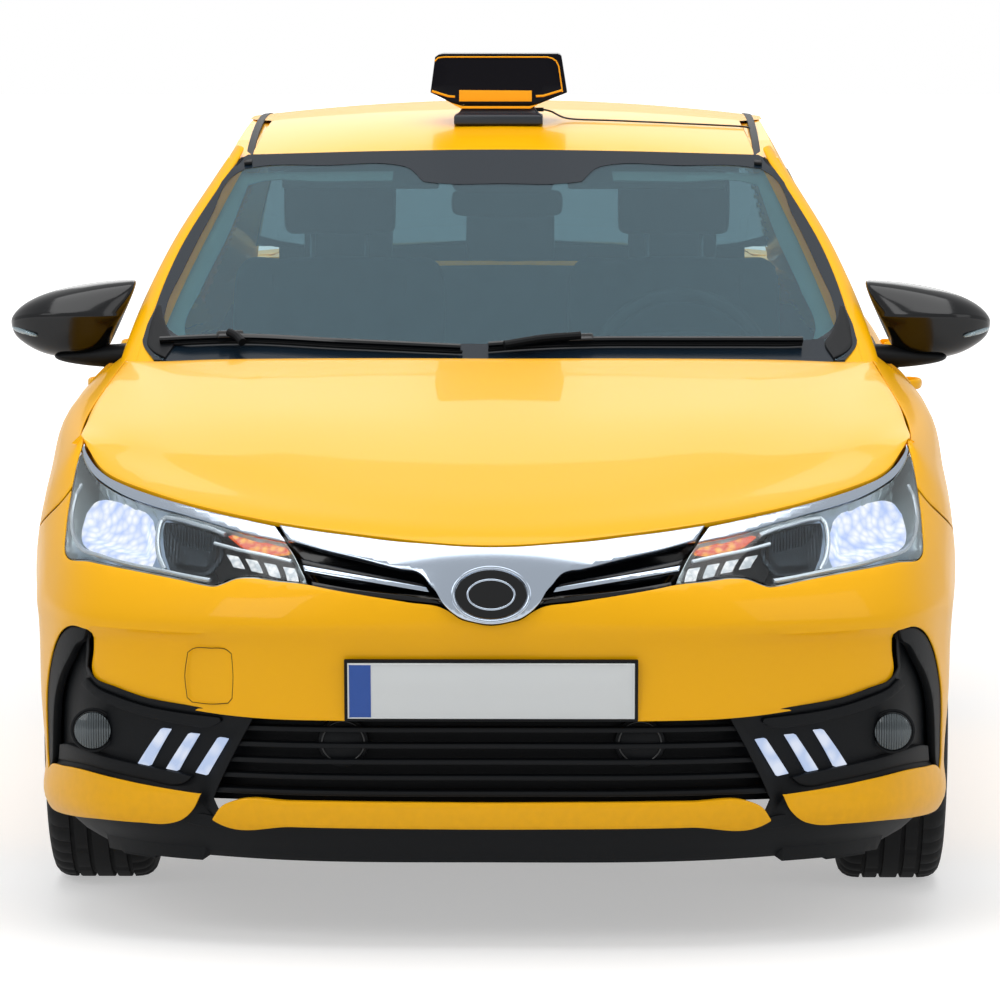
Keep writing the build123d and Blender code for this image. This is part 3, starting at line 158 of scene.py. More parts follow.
# ------------------------------------------------------------------------------- body panels
# Pressed steel roof, side frames, doors and boot lid, sprayed solid yellow under a clear coat.
# These are the CAD panels themselves, with the finish put on them.
CAR_YELLOW = "#FFBA04"
# Painted shade low on the body: below the height that follows, the yellow darkens in speckles towards this
# orange-yellow.
LOW_SHADE_YELLOW = "#C98F1E"
LOW_SHADE_TOP = 0.42


def sprayed():
    """Solid yellow enamel, sprayed and clear coated: an even colour under a deep gloss with a
    little orange peel, and painted shade low down: a speckled darker yellow on a duller, rougher coat."""
    made, tree, shader = material("sprayed_yellow_enamel", CAR_YELLOW, Roughness=0.38, IOR=1.5,
        Specular_IOR_Level=0.12, Coat_Weight=0.22, Coat_Roughness=0.03, Coat_IOR=1.5)
    place = add(tree, "ShaderNodeTexCoord")
    peel = add(tree, "ShaderNodeTexNoise", {"Scale": 90.0, "Detail": 1.0},
               {"Vector": place.outputs["Object"]})
    bump = add(tree, "ShaderNodeBump", {"Strength": 1.0, "Distance": 0.00002},
               {"Height": peel.outputs["Fac"]})
    tree.links.new(bump.outputs["Normal"], shader.inputs["Coat Normal"])
    # Painted shade: the lower the place, the more of the darker orange-yellow is mixed in, and the coat grows
    # rougher with it.
    height = add(tree, "ShaderNodeSeparateXYZ", links={0: place.outputs["Object"]})
    speckle = add(tree, "ShaderNodeTexNoise", {"Scale": 60.0, "Detail": 6.0},
                  {"Vector": place.outputs["Object"]})
    fade = {"From Min": 0.15, "From Max": LOW_SHADE_TOP, "To Min": 0.55, "To Max": 0.0}
    low = add(tree, "ShaderNodeMapRange", fade, {"Value": height.outputs["Z"]})
    low_shade = add(tree, "ShaderNodeMath", links={0: low.outputs[0], 1: speckle.outputs["Fac"]},
               operation="MULTIPLY")
    mixed = add(tree, "ShaderNodeMix", links={"Factor": low_shade.outputs[0]}, data_type="RGBA")
    for socket in mixed.inputs:
        if socket.type == "RGBA":
            socket.default_value = colour(CAR_YELLOW if socket.name == "A" else LOW_SHADE_YELLOW)
    tree.links.new([o for o in mixed.outputs if o.type == "RGBA"][0], shader.inputs["Base Color"])
    rough = add(tree, "ShaderNodeMapRange", {"To Min": 0.36, "To Max": 0.6}, {"Value": low_shade.outputs[0]})
    tree.links.new(rough.outputs[0], shader.inputs["Roughness"])
    return made


car_paint = sprayed()


def finish(name, *mats):
    """Puts the finish on a CAD node's own slots."""
    node = nodes[name]
    node.data.materials.clear()
    for mat in mats:
        node.data.materials.append(mat)


def both(name):
    """The left and right nodes of a pair."""
    return [name + "_left", name + "_right"]


for name in (both("door_front") + both("door_rear") + both("side_frame")
             + ["roof_panel", "boot_lid", "bumper_rear"]):
    finish(name, car_paint)


# --------------------------------------------------------------------- front bumper's skin
# One injection-moulded polypropylene skin wraps the nose from arch to arch, in body colour,
# clipped to the wings along a seam and open for the lower grille and the corner vents.
# The nose is one surface, given by rows from the sill line up to the bonnet. Each row has its
# height and set-back at the centre, three points round the corner as (inset, set-back), and
# five along the wing as (inset, height) at the stations below, all in millimetres.
HALF_WIDTH = 888.0
NOSE = -2310.0
WING_STATIONS = (-1700, -1520, -1350, -950, -890)
NOSE_ROWS = [
    (150, 66, (440, 112), (236, 230), (120, 405), (92, 150), (90, 150), (100, 150), (108, 150), (108, 150)),
    (222, 28, (408, 74), (172, 192), (60, 396), (42, 222), (48, 221), (56, 220), (66, 215), (66, 215)),
    (290, 26, (396, 72), (162, 198), (60, 400), (42, 290), (42, 290), (44, 290), (48, 290), (48, 290)),
    (420, 22, (388, 68), (146, 198), (52, 404), (32, 420), (28, 420), (22, 420), (23, 420), (23, 420)),
    (560, 8, (388, 56), (144, 200), (50, 406), (24, 560), (14, 560), (6, 560), (5, 560), (5, 560)),
    (592, 0, (388, 48), (142, 200), (47, 406), (21, 592), (11, 592), (4, 592), (4, 592), (4, 592)),
    (624, 2, (388, 58), (146, 210), (52, 408), (20, 624), (10, 624), (4, 624), (4, 624), (4, 624)),
    (700, 25, (388, 116), (158, 258), (72, 416), (26, 700), (13, 700), (6, 700), (6, 700), (6, 700)),
    (790, 110, (328, 250), (176, 362), (104, 470), (50, 790), (30, 790), (20, 790), (18, 790), (18, 790)),
    (884, 260, (328, 430), (190, 540), (126, 600), (96, 874), (72, 890), (60, 904), (50, 917), (50, 919)),
    (915, 330, (320, 500), (200, 606), (150, 660), (122, 897), (126, 930), (138, 962), (150, 1000),
     (150, 1004)),
]
NOSE_ACROSS = (0, 505, 760, 975, 1180, 1360, 1530, 1930, 1990)
NOSE_UP = (0, 75, 145, 275, 415, 448, 480, 560, 660, 780, 850)


def slopes(places, values):
    """The slope at each row of values, from its neighbours on both sides."""
    gaps = np.diff(places)[:, None]
    steep = np.diff(values, axis=0) / gaps
    inner = (steep[:-1] * gaps[1:] + steep[1:] * gaps[:-1]) / (gaps[:-1] + gaps[1:])
    return np.concatenate([steep[:1], inner, steep[-1:]])


def between(places, at):
    """The stretch that each value lies in, and the four weights of its two ends."""
    row = np.clip(np.searchsorted(places, at, side="right") - 1, 0, len(places) - 2)
    gap = places[row + 1] - places[row]
    t = np.clip((at - places[row]) / gap, 0, 1)
    weights = (2 * t ** 3 - 3 * t ** 2 + 1, (t ** 3 - 2 * t ** 2 + t) * gap,
               3 * t ** 2 - 2 * t ** 3, (t ** 3 - t ** 2) * gap)
    return row, [w[:, None] for w in weights]


def lofted(rows, across, up):
    """A smooth surface through rows of points from the car's centre outwards. It takes places
    across (less than nought on the right-hand side) and up, and gives points in metres."""
    table = np.array(rows, float)
    across = np.array(across, float)
    up = np.array(up, float)
    rise = np.stack([slopes(up, table[:, k]) for k in range(len(across))], axis=1)

    def surface(uv):
        uv = np.asarray(uv, float)
        u = np.abs(uv[:, 0])
        row, w = between(up, uv[:, 1])
        w = [x[:, :, None] for x in w]
        lines = w[0] * table[row] + w[1] * rise[row] + w[2] * table[row + 1] + w[3] * rise[row + 1]
        lean = np.stack([slopes(across, line) for line in lines])
        lean[:, 0, 1:] = 0
        col, w = between(across, u)
        n = np.arange(len(u))
        points = (w[0] * lines[n, col] + w[1] * lean[n, col]
                  + w[2] * lines[n, col + 1] + w[3] * lean[n, col + 1])
        points[:, 0] *= np.where(uv[:, 0] < 0, -1, 1)
        return points / 1000

    return surface


nose_points = []
for row in NOSE_ROWS:
    line = [(0, NOSE + row[1], row[0])]
    line += [(HALF_WIDTH - inset, NOSE + back, row[0]) for inset, back in row[2:5]]
    line += [(HALF_WIDTH - inset, y, z) for (inset, z), y in zip(row[5:], WING_STATIONS)]
    nose_points.append(line)
nose = lofted(nose_points, NOSE_ACROSS, NOSE_UP)


def drawn(points, step=7.0, sharp=38.0, closed=True):
    """A line through given points, smooth except where it turns by more than the sharp angle."""
    points = np.array(points, float)
    count = len(points)
    corners = []
    for i in range(count):
        a = points[i] - points[i - 1]
        b = points[(i + 1) % count] - points[i]
        bend = np.dot(a, b) / max(np.linalg.norm(a) * np.linalg.norm(b), 1e-9)
        if math.degrees(math.acos(max(-1, min(1, bend)))) > sharp:
            corners.append(i)
    if not closed:
        corners = sorted(set([0, count - 1] + corners))
        runs = [points[a:b + 1] for a, b in zip(corners[:-1], corners[1:])]
    elif corners:
        turned = np.roll(points, -corners[0], axis=0)
        corners = [c - corners[0] for c in corners] + [count]
        turned = np.concatenate([turned, turned[:1]])
        runs = [turned[a:b + 1] for a, b in zip(corners[:-1], corners[1:])]
    else:
        runs = [np.concatenate([points[-3:], points, points[:3]])]
    line = []
    for run in runs:
        along = np.concatenate([[0], np.cumsum(np.linalg.norm(np.diff(run, axis=0), axis=1))])
        first, last = (along[3], along[-3]) if closed and not corners else (along[0], along[-1])
        number = max(1, int(round((last - first) / step)))
        at = first + (last - first) * np.arange(number) / number
        if len(run) == 2:
            t = (at / along[-1])[:, None]
            line.append(run[0] * (1 - t) + run[1] * t)
            continue
        lean = slopes(along, run)
        row, w = between(along, at)
        line.append(w[0] * run[row] + w[1] * lean[row] + w[2] * run[row + 1] + w[3] * lean[row + 1])
    if not closed:
        line.append(points[-1:])
    return np.concatenate(line)


def shrunk(line, gap):
    """A closed line moved inwards by a gap."""
    ahead = np.roll(line, -1, axis=0) - np.roll(line, 1, axis=0)
    ahead /= np.maximum(np.linalg.norm(ahead, axis=1), 1e-9)[:, None]
    area = np.sum(line[:, 0] * np.roll(line[:, 1], -1) - np.roll(line[:, 0], -1) * line[:, 1])
    inward = np.stack([-ahead[:, 1], ahead[:, 0]], axis=1) * (1 if area > 0 else -1)
    return line + inward * gap


def inside(line, places):
    """Which places lie inside a closed line."""
    ax, ay = line[:, 0], line[:, 1]
    bx, by = np.roll(ax, -1), np.roll(ay, -1)
    x, y = places[:, :1], places[:, 1:]
    crosses = (ay > y) != (by > y)
    with np.errstate(divide="ignore", invalid="ignore"):
        hit = x < (bx - ax) * (y - ay) / (by - ay) + ax
    return np.sum(crosses & hit, axis=1) % 2 == 1


SHARP_ANGLE = 32.0


def apply_all(piece):
    """Applies a piece's modifiers in turn."""
    bpy.ops.object.select_all(action="DESELECT")
    bpy.context.view_layer.objects.active = piece
    piece.select_set(True)
    for modifier in list(piece.modifiers):
        bpy.ops.object.modifier_apply(modifier=modifier.name)
    piece.select_set(False)


def done(piece, mat, slot, *replaced, body="root"):
    """The last steps for a piece: modifiers, shading, finish, the body it rides on and the CAD nodes
    it stands for. The slot is not used."""
    apply_all(piece)
    piece.data.shade_smooth()
    piece.data.set_sharp_from_angle(angle=math.radians(SHARP_ANGLE))
    piece.data.materials.clear()
    piece.data.materials.append(mat)
    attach(piece, body)
    if replaced:
        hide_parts(*replaced)
    return piece


def as_piece(name, points, faces):
    """A mesh of its own name from points in metres and faces."""
    mesh = bpy.data.meshes.new(name)
    mesh.from_pydata([tuple(p) for p in points], [], [tuple(f) for f in faces])
    piece = bpy.data.objects.new(name, mesh)
    bpy.context.scene.collection.objects.link(piece)
    return piece


def step_up(value, start, end):
    """0 before start, 1 after end, and smooth between them."""
    t = np.clip((value - start) / (end - start), 0, 1)
    return t * t * (3 - 2 * t)


def walled(piece, wall, offset=-1, even=False):
    """Gives a sheet a wall of the given thickness in millimetres."""
    thick = piece.modifiers.new("wall", "SOLIDIFY")
    thick.thickness = wall / 1000
    thick.offset = offset
    thick.use_even_offset = even
    return piece


def rounded(piece, width, segments=3, turn=30):
    """Rounds the edges where a piece turns by more than the angle."""
    edge = piece.modifiers.new("edge", "BEVEL")
    edge.width = width / 1000
    edge.segments = segments
    edge.limit_method = "ANGLE"
    edge.angle_limit = math.radians(turn)
    return piece


def outwards(surface, uv):
    """A surface's outward direction at each place."""
    out = np.cross(surface(uv + (1.0, 0)) - surface(uv - (1.0, 0)),
                   surface(uv + (0, 1.0)) - surface(uv - (0, 1.0)))
    return out / np.maximum(np.linalg.norm(out, axis=1), 1e-12)[:, None]


def sheet(name, points, faces, out):
    """An open sheet whose faces look outwards."""
    piece = as_piece(name, points, faces)
    piece.data.update()
    if sum(np.dot(np.array(f.normal), out[f.vertices[0]]) * f.area for f in piece.data.polygons) < 0:
        piece.data.flip_normals()
    return piece


def pressed(name, surface, outline, wall=3.0, edge=0.9, grid=16.0, gap=0.0, sunk=None, bowl=None, sharp=38.0):
    """A panel cut from a surface along an outline, with a wall inwards and rounded edges, all
    in millimetres. sunk says how far a place lies under the surface, and bowl, as (depth, run),
    how far it falls away from its rim."""
    line = drawn(outline, step=grid / 2, sharp=sharp)
    if gap:
        line = shrunk(line, gap)
    low, high = line.min(axis=0), line.max(axis=0)
    places = np.stack(np.meshgrid(np.arange(low[0] + grid / 2, high[0], grid),
                                  np.arange(low[1] + grid / 2, high[1], grid * 0.87)), axis=-1)
    places[1::2, :, 0] += grid / 2
    places = places.reshape(-1, 2)
    if len(places):
        places = places[inside(line, places)]
    if len(places):
        near = np.array([np.min(np.sum((line - p) ** 2, axis=1)) for p in places])
        places = places[near > (0.42 * grid) ** 2]
    flat = [Vector(p) for p in np.concatenate([line, places])] if len(places) else [Vector(p) for p in line]
    loop = [(i, (i + 1) % len(line)) for i in range(len(line))]
    made, _, faces, _, _, _ = delaunay_2d_cdt(flat, loop, [], 1, 1e-4)
    uv = np.array([tuple(p) for p in made])
    out = outwards(surface, uv)
    depth = np.zeros(len(uv))
    if sunk is not None:
        depth += sunk(uv) if callable(sunk) else sunk
    if bowl:
        rim = np.array([math.sqrt(np.min(np.sum((line - p) ** 2, axis=1))) for p in uv])
        depth += bowl[0] * step_up(rim, 0, bowl[1])
    piece = sheet(name, surface(uv) - out * (depth / 1000)[:, None], faces, out)
    if wall:
        walled(piece, wall, even=True)
    return rounded(piece, edge, 2, 50) if edge else piece


def panel(name, surface, outline, mat, slot, *replaced, body="root", **sizes):
    """A pressed panel with its last steps done."""
    return done(pressed(name, surface, outline, **sizes), mat, slot, *replaced, body=body)


def rod(name, places, thick, closed):
    """A round rod through places in metres, its thickness in millimetres and its ends closed."""
    curve = bpy.data.curves.new(name + "_line", "CURVE")
    curve.dimensions = "3D"
    curve.bevel_depth = thick / 2000
    curve.bevel_resolution = 3
    curve.use_fill_caps = True
    spline = curve.splines.new("POLY")
    spline.points.add(len(places) - 1)
    for point, place in zip(spline.points, places):
        point.co = (*place, 1.0)
    spline.use_cyclic_u = closed
    shaped = bpy.data.objects.new(name + "_line", curve)
    bpy.context.scene.collection.objects.link(shaped)
    bpy.context.view_layer.update()
    mesh = bpy.data.meshes.new_from_object(shaped.evaluated_get(bpy.context.evaluated_depsgraph_get()))
    bpy.data.objects.remove(shaped)
    bpy.data.curves.remove(curve)
    mesh.name = name
    piece = bpy.data.objects.new(name, mesh)
    bpy.context.scene.collection.objects.link(piece)
    return piece


def bead(name, surface, points, thick, sunk=0.0, closed=True, step=6.0):
    """A round bead laid along a line on a surface; its thickness and depth are in millimetres."""
    uv = drawn(points, step=step, closed=closed)
    return rod(name, surface(uv) - outwards(surface, uv) * sunk / 1000, thick, closed)


def mirrored(points):
    """The same points on the car's other side."""
    return [(-u, v) for u, v in points]


def other_side(points):
    """The same line on the car's other side, run the other way."""
    return mirrored(reversed(points))


def on_side(sign):
    """What carries an outline drawn on the left (1) to the side that is asked for."""
    return (lambda points: points) if sign > 0 else other_side


def whole(half):
    """A closed outline from its left half, which starts and ends on the centre."""
    return half + [(-u, v) for u, v in reversed(half) if abs(u) > 1e-6]


ARCH_HALF = [(1440, 511), (1355, 475), (1262, 396), (1224, 345), (1201, 291), (1186, 230), (1180, 171),
             (1184, 110), (1190, 72)]
LAMP_LOW = [(332, 526), (395, 531), (438, 535), (468, 532), (493, 522), (508, 517), (525, 518), (568, 525),
            (626, 533), (688, 540), (768, 546), (880, 548)]
CHEEK_LOW = [(273, 275), (431, 277), (509, 281), (570, 287), (630, 295), (694, 311), (752, 327)]
CHEEK_SIDE = [(762, 345), (757, 385), (756, 421)]
VENT_OUTER = [(800, 424), (843, 412), (880, 390), (915, 357), (945, 310), (966, 255), (982, 200), (992, 165),
              (985, 140)]
POD_LOW = [(960, 150), (885, 158), (800, 161), (717, 155), (647, 147), (584, 140), (541, 136)]
bumper_half = ([(0, 454), (32, 459), (54, 465), (72, 477), (84, 484), (150, 496), (233, 509), (300, 520)]
               + LAMP_LOW + [(893, 552), (936, 589), (980, 630), (1008, 668)]
               + [(1051, 637), (1100, 613), (1170, 588), (1260, 562), (1350, 536), (1440, 511)]
               + ARCH_HALF[1:]
               + [(1120, 62), (1050, 58), (981, 56), (860, 62), (762, 69), (673, 71), (615, 73), (587, 82),
                  (562, 102)]
               + list(reversed(POD_LOW)) + list(reversed(VENT_OUTER)) + list(reversed(CHEEK_SIDE))
               + list(reversed(CHEEK_LOW)) + [(0, 275)])
CHEEK_SINK = 15.0


def cheek_sink(uv):
    """The cheeks lie a little under the nose below a crease that fades out towards the plate."""
    u = np.abs(uv[:, 0])
    v = uv[:, 1]
    crease = 428 + 0.02 * (600 - np.minimum(u, 760))
    below = step_up(crease - v, 0, 16)
    across = step_up(u, 380, 640) * (1 - step_up(u, 772, 800))
    return CHEEK_SINK * below * across * step_up(v, 180, 240)


panel("front_bumper_skin", nose, whole(bumper_half), car_paint, "body_paint", "bumper_front", wall=3.2,
      edge=1.4, grid=15.0, gap=1.5, sunk=cheek_sink)

# The lip under the lower grille is a body-coloured moulding between two black end pieces.
LIP = [(0, 127), (170, 128), (370, 128), (478, 126), (505, 115), (531, 86), (520, 79), (377, 78), (170, 77),
       (0, 76)]
panel("front_lip", nose, whole(LIP), car_paint, "body_paint", wall=20.0, edge=3.0, grid=12.0)


# ------------------------------------------------------------------------------ front wings
# Pressed steel wings bolt on between bumper, lamp, bonnet and door, and follow the wheel arch.
BONNET_SIDE = [(1006, 765), (1060, 780), (1180, 803), (1360, 826), (1530, 840), (1730, 846), (1930, 849),
               (1990, 849)]
WING_LINE = ([(1008, 674), (1022, 712), (1036, 762)] + BONNET_SIDE[1:-1]
             + [(1983, 849), (1983, 700), (1983, 415), (1983, 68), (1884, 66), (1872, 110), (1876, 171),
                (1868, 230), (1855, 291), (1836, 345), (1798, 396), (1705, 475), (1591, 518), (1530, 524),
                (1469, 518), (1440, 511), (1350, 538), (1260, 565), (1170, 591), (1100, 617), (1051, 641)])
for side, sign in SIDES:
    panel("front_wing_" + side, nose, on_side(sign)(WING_LINE), car_paint, "body_paint", "wing_" + side,
          wall=2.5, edge=1.2, grid=18.0, gap=1.6)

# --------------------------------------------------------------------------------- bonnet
# A pressed steel lid, hinged at the cowl, whose folded front edge follows the chrome bar and
# the lamps. It is crowned, with a soft ridge on each side.
BONNET_ROWS = [
    [(0, -2259, 735), (234, -2220, 751), (453, -2126, 776), (629, -1989, 808), (724, -1855, 833),
     (774, -1719, 876)],
    [(0, -2232, 751), (233, -2190, 765), (450, -2094, 788), (622, -1956, 819), (719, -1822, 845),
     (777, -1705, 883)],
    [(0, -2150, 781), (231, -2108, 792), (445, -2012, 812), (614, -1880, 840), (711, -1760, 864),
     (783, -1692, 887)],
    [(0, -1980, 833), (228, -1942, 842), (438, -1862, 858), (606, -1760, 875), (702, -1670, 890),
     (781, -1600, 903)],
    [(0, -1700, 907), (224, -1676, 912), (430, -1630, 919), (598, -1570, 921), (694, -1520, 923),
     (775, -1468, 929)],
    [(0, -1400, 966), (220, -1384, 967), (420, -1360, 968), (585, -1330, 966), (682, -1300, 962),
     (754, -1262, 967)],
    [(0, -1186, 1001), (214, -1178, 1001), (412, -1160, 999), (572, -1136, 995), (668, -1112, 990),
     (741, -1085, 989)],
]
BONNET_ACROSS = (0, 240, 470, 690, 830, 960)
BONNET_UP = (0, 34, 110, 285, 575, 885, 1100)
bonnet_top = lofted(BONNET_ROWS, BONNET_ACROSS, BONNET_UP)
bonnet_half = [(0, 0), (240, 0), (470, 0), (690, 0), (830, 0), (900, 0), (945, 3), (960, 22), (960, 285),
               (960, 575), (960, 885), (960, 1100), (830, 1100), (470, 1100), (240, 1100), (0, 1100)]
panel("bonnet_skin", bonnet_top, whole(bonnet_half), car_paint, "body_paint", "bonnet", body="bonnet",
      wall=9.0, edge=2.5, grid=24.0, gap=2.2)

# -------------------------------------------------------------------------- upper grille
# A gloss-black ABS grille behind the nose, with a slat across each side.
gloss_black = grained("moulded_gloss_black_abs", "#04060A", 9.0, 0.02, Roughness=0.16, IOR=1.53,
    Specular_IOR_Level=0.3, Coat_Weight=0.2)
black_plastic = grained("grained_black_polypropylene", "#06090D", 2.2, 0.16, 4.0, Roughness=0.55, IOR=1.49,
    Specular_IOR_Level=0.2)

GRILLE = [(0, 448), (60, 456), (90, 476), (150, 488), (336, 516), (360, 560), (356, 634), (214, 616),
          (0, 596)]
panel("upper_grille_back", nose, whole(GRILLE), gloss_black, "gloss_black", "grille_upper", wall=2.0,
      grid=14.0, sunk=24.0, bowl=(24.0, 40.0))
for side, sign in SIDES:
    for number, slat in enumerate(([(338, 583), (232, 559), (150, 541), (120, 533), (120, 525), (150, 531),
                                    (232, 548), (340, 573)],
                                   [(330, 540), (232, 522), (150, 510), (96, 500), (90, 492), (150, 500),
                                    (232, 512), (330, 529)])):
        panel("grille_slat_%d_%s" % (number, side), nose, on_side(sign)(slat), gloss_black, "gloss_black",
              wall=14.0, edge=1.5, grid=9.0, sunk=18.0)

# ---------------------------------------------------------------------------- chrome bar
# Chromed ABS: a wide wing across the grille that turns down round the badge, a thin line
# through each grille opening, and a strip along the top of each lamp.
# Its blue-grey colour is painted reflection: it stands in for a blue sky mirrored in the chrome, as the
# studio round it is white.
chrome = grained("chromed_abs", "#B9C5D4", 60.0, 0.05, 0.0, Metallic=1.0, Roughness=0.16)

BAR = [(0, 590), (65, 592), (141, 600), (214, 610), (285, 619), (341, 628), (343, 602), (302, 589),
       (229, 571), (164, 554), (132, 547), (126, 543), (113, 528), (101, 514), (87, 492), (73, 478),
       (54, 466), (32, 460), (0, 456)]


def bar_swell(uv):
    """The bar stands a little proud, most of all round the badge."""
    u = np.abs(uv[:, 0])
    return -4.0 - 7.0 * (1 - step_up(u, 70, 190))


panel("chrome_bar", nose, whole(BAR), chrome, "gloss_black", wall=12.0, edge=4.0, grid=9.0, sunk=bar_swell)
THIN_LINE = [(340, 565), (234, 547), (118, 525), (112, 515), (234, 537), (340, 555)]
STRIP = [(349, 628), (395, 638), (449, 649), (514, 662), (602, 676), (689, 688), (805, 705), (926, 732),
         (1004, 759), (1027, 772), (1028, 757), (971, 732), (903, 710), (790, 688), (680, 669), (602, 657),
         (524, 644), (464, 630), (415, 615), (349, 602)]
for side, sign in SIDES:
    turn = on_side(sign)
    panel("chrome_line_" + side, nose, turn(THIN_LINE), chrome, "gloss_black", wall=10.0, edge=2.0,
          grid=8.0, sunk=9.0)
    panel("lamp_strip_" + side, nose, turn(STRIP), chrome, "gloss_black", wall=9.0, edge=3.0, grid=8.0,
          sunk=1.0)

# --------------------------------------------------------------------------------- badge
# A plain oval badge: a chromed rim round a gloss-black field with a second rim inside it.
BADGE_HIGH = 654.0
BADGE_FACE = NOSE - 8.0
BADGE_LEAN = math.radians(14)
BADGE_HALF = (69.0, 49.0)


def stood(piece, at, lean):
    """Carries a form drawn in millimetres to its place, leaning back by the angle."""
    piece.data.transform(Matrix.Translation([v / 1000 for v in at]) @ Matrix.Rotation(-lean, 4, "X")
                         @ Matrix.Scale(0.001, 4))


def turned_out(piece):
    """Recalculates a closed piece's normals so that they point outwards."""
    bpy.ops.object.select_all(action="DESELECT")
    bpy.context.view_layer.objects.active = piece
    piece.select_set(True)
    bpy.ops.object.mode_set(mode="EDIT")
    bpy.ops.mesh.select_all(action="SELECT")
    bpy.ops.mesh.normals_make_consistent(inside=False)
    bpy.ops.object.mode_set(mode="OBJECT")
    piece.select_set(False)


def oval_ring(name, half, thick, at, mat, lean=BADGE_LEAN, squash=0.55):
    """An oval ring of round section that stands on the nose."""
    bpy.ops.object.select_all(action="DESELECT")
    bpy.ops.mesh.primitive_torus_add(major_radius=1.0, minor_radius=0.1, major_segments=72, minor_segments=14)
    ring = bpy.context.object
    ring.name = name
    for vertex in ring.data.vertices:
        x, y, z = vertex.co
        far = math.hypot(x, y)
        r = far - 1.0
        c, s = x / far, y / far
        vertex.co = (c * (half[0] + r * thick * 5), z * thick * 5 * squash, s * (half[1] + r * thick * 5))
    stood(ring, at, lean)
    ring.data.update()
    turned_out(ring)
    return done(ring, mat, "gloss_black")


def oval_disc(name, half, thick, at, mat, lean=BADGE_LEAN, crown=3.0, body="root", slot="gloss_black"):
    """A crowned oval plate, its rim rounded."""
    rings = [(1.0, 0.0), (0.97, 1.0), (0.8, 1.0 + 0.35 * crown / 3), (0.5, 1.0 + 0.75 * crown / 3),
             (0.2, 1.0 + 0.95 * crown / 3)]
    points = []
    faces = []
    around = 64
    for scale, rise in rings:
        for k in range(around):
            a = 2 * math.pi * k / around
            points.append((half[0] * scale * math.cos(a), -rise * thick, half[1] * scale * math.sin(a)))
    points.append((0, -(1.0 + crown / 3) * thick, 0))
    points += [(half[0] * math.cos(2 * math.pi * k / around), thick,
                half[1] * math.sin(2 * math.pi * k / around)) for k in range(around)]
    for r in range(len(rings) - 1):
        for k in range(around):
            a, b = r * around + k, r * around + (k + 1) % around
            faces.append((a, b, b + around, a + around))
    top = len(rings) * around
    for k in range(around):
        faces.append(((len(rings) - 1) * around + k, (len(rings) - 1) * around + (k + 1) % around, top))
        faces.append((top + 1 + k, top + 1 + (k + 1) % around, (k + 1) % around, k))
    faces.append(tuple(top + 1 + k for k in reversed(range(around))))
    disc = as_piece(name, points, faces)
    stood(disc, at, lean)
    turned_out(disc)
    return done(disc, mat, slot, body=body)


badge_at = (0, BADGE_FACE - 2, BADGE_HIGH)
oval_disc("badge_field", (BADGE_HALF[0] - 4, BADGE_HALF[1] - 4), 3.0, (0, BADGE_FACE, BADGE_HIGH),
          gloss_black)
oval_ring("badge_rim", BADGE_HALF, 5.5, badge_at, chrome)
oval_ring("badge_inner_rim", (42.0, 27.0), 3.4, (0, BADGE_FACE - 5, BADGE_HIGH), chrome)

# --------------------------------------------------------------------------- headlamps
# A clear hard-coated polycarbonate cover closes a moulded housing. Inside are a lit main
# reflector, a dark outer chamber, an amber indicator and four square daytime lamps.
lamp_cover = grained("hard_coated_clear_polycarbonate", "#F4F8FA", 40.0, 0.02, 0.0, Roughness=0.02, IOR=1.3,
    Transmission_Weight=1.0)
bezel_silver = grained("metallised_grey_bezel", "#A9B5B8", 3.0, 0.02, Metallic=0.75, Roughness=0.32)
chamber_trim = grained("bright_lamp_trim", "#D5DDE4", 8.0, 0.02, Metallic=0.6, Roughness=0.25)
dark_chamber, tree, shader = material("smoked_fluted_reflector", "#27323A", Metallic=0.6, Roughness=0.22)
relief(tree, shader, "Wave", {"Scale": 55.0, "Distortion": 0.6}, 0.002, 0.8)


def lit(name, dark, pale, strength, size_mm, contrast=(0.3, 0.7)):
    """A lit lens: cells of moulded optics glow between two colours."""
    made, tree, shader = material(name, pale, Roughness=0.25)
    cells = relief(tree, shader, "Voronoi", {"Scale": 1000 / size_mm}, 0.002, 0.6, "Distance")
    glow = ramped(tree, cells.outputs["Distance"], *contrast, pale, dark)
    tree.links.new(glow, shader.inputs["Emission Color"])
    shader.inputs["Emission Strength"].default_value = strength
    shader.inputs["Base Color"].default_value = colour("#202020")
    return made


main_beam = lit("lit_main_reflector", "#B4C9FA", "#FFFFFF", 1.05, 17.0, (0.15, 0.9))
amber_lens = lit("lit_amber_lens", "#E0480A", "#FFB93A", 0.95, 16.0, (0.15, 0.6))
day_lamp = lit("lit_daytime_lamp", "#C9D2D8", "#FFFFFF", 0.9, 12.0)

COVER = ([(349, 600), (415, 613), (464, 628), (524, 642), (602, 655), (680, 667), (790, 686), (903, 708),
          (971, 730), (1024, 752), (1020, 712), (1006, 672), (978, 630), (934, 589), (893, 553)]
         + list(reversed(LAMP_LOW)) + [(345, 556)])
REFLECTOR = [(852, 582), (884, 606), (894, 636), (868, 656), (820, 667), (746, 668), (678, 661), (632, 652),
             (616, 640), (617, 620), (622, 592), (630, 566), (636, 554), (666, 558), (712, 564), (768, 570),
             (822, 575)]
CHAMBER = [(580, 636), (552, 636), (508, 628), (468, 619), (474, 604), (488, 580), (510, 560), (528, 545),
           (556, 543), (584, 546), (600, 552), (606, 574), (602, 600), (592, 622)]
AMBER = [(450, 613), (424, 617), (396, 615), (368, 609), (350, 602), (355, 585), (374, 583), (410, 586),
         (440, 596)]
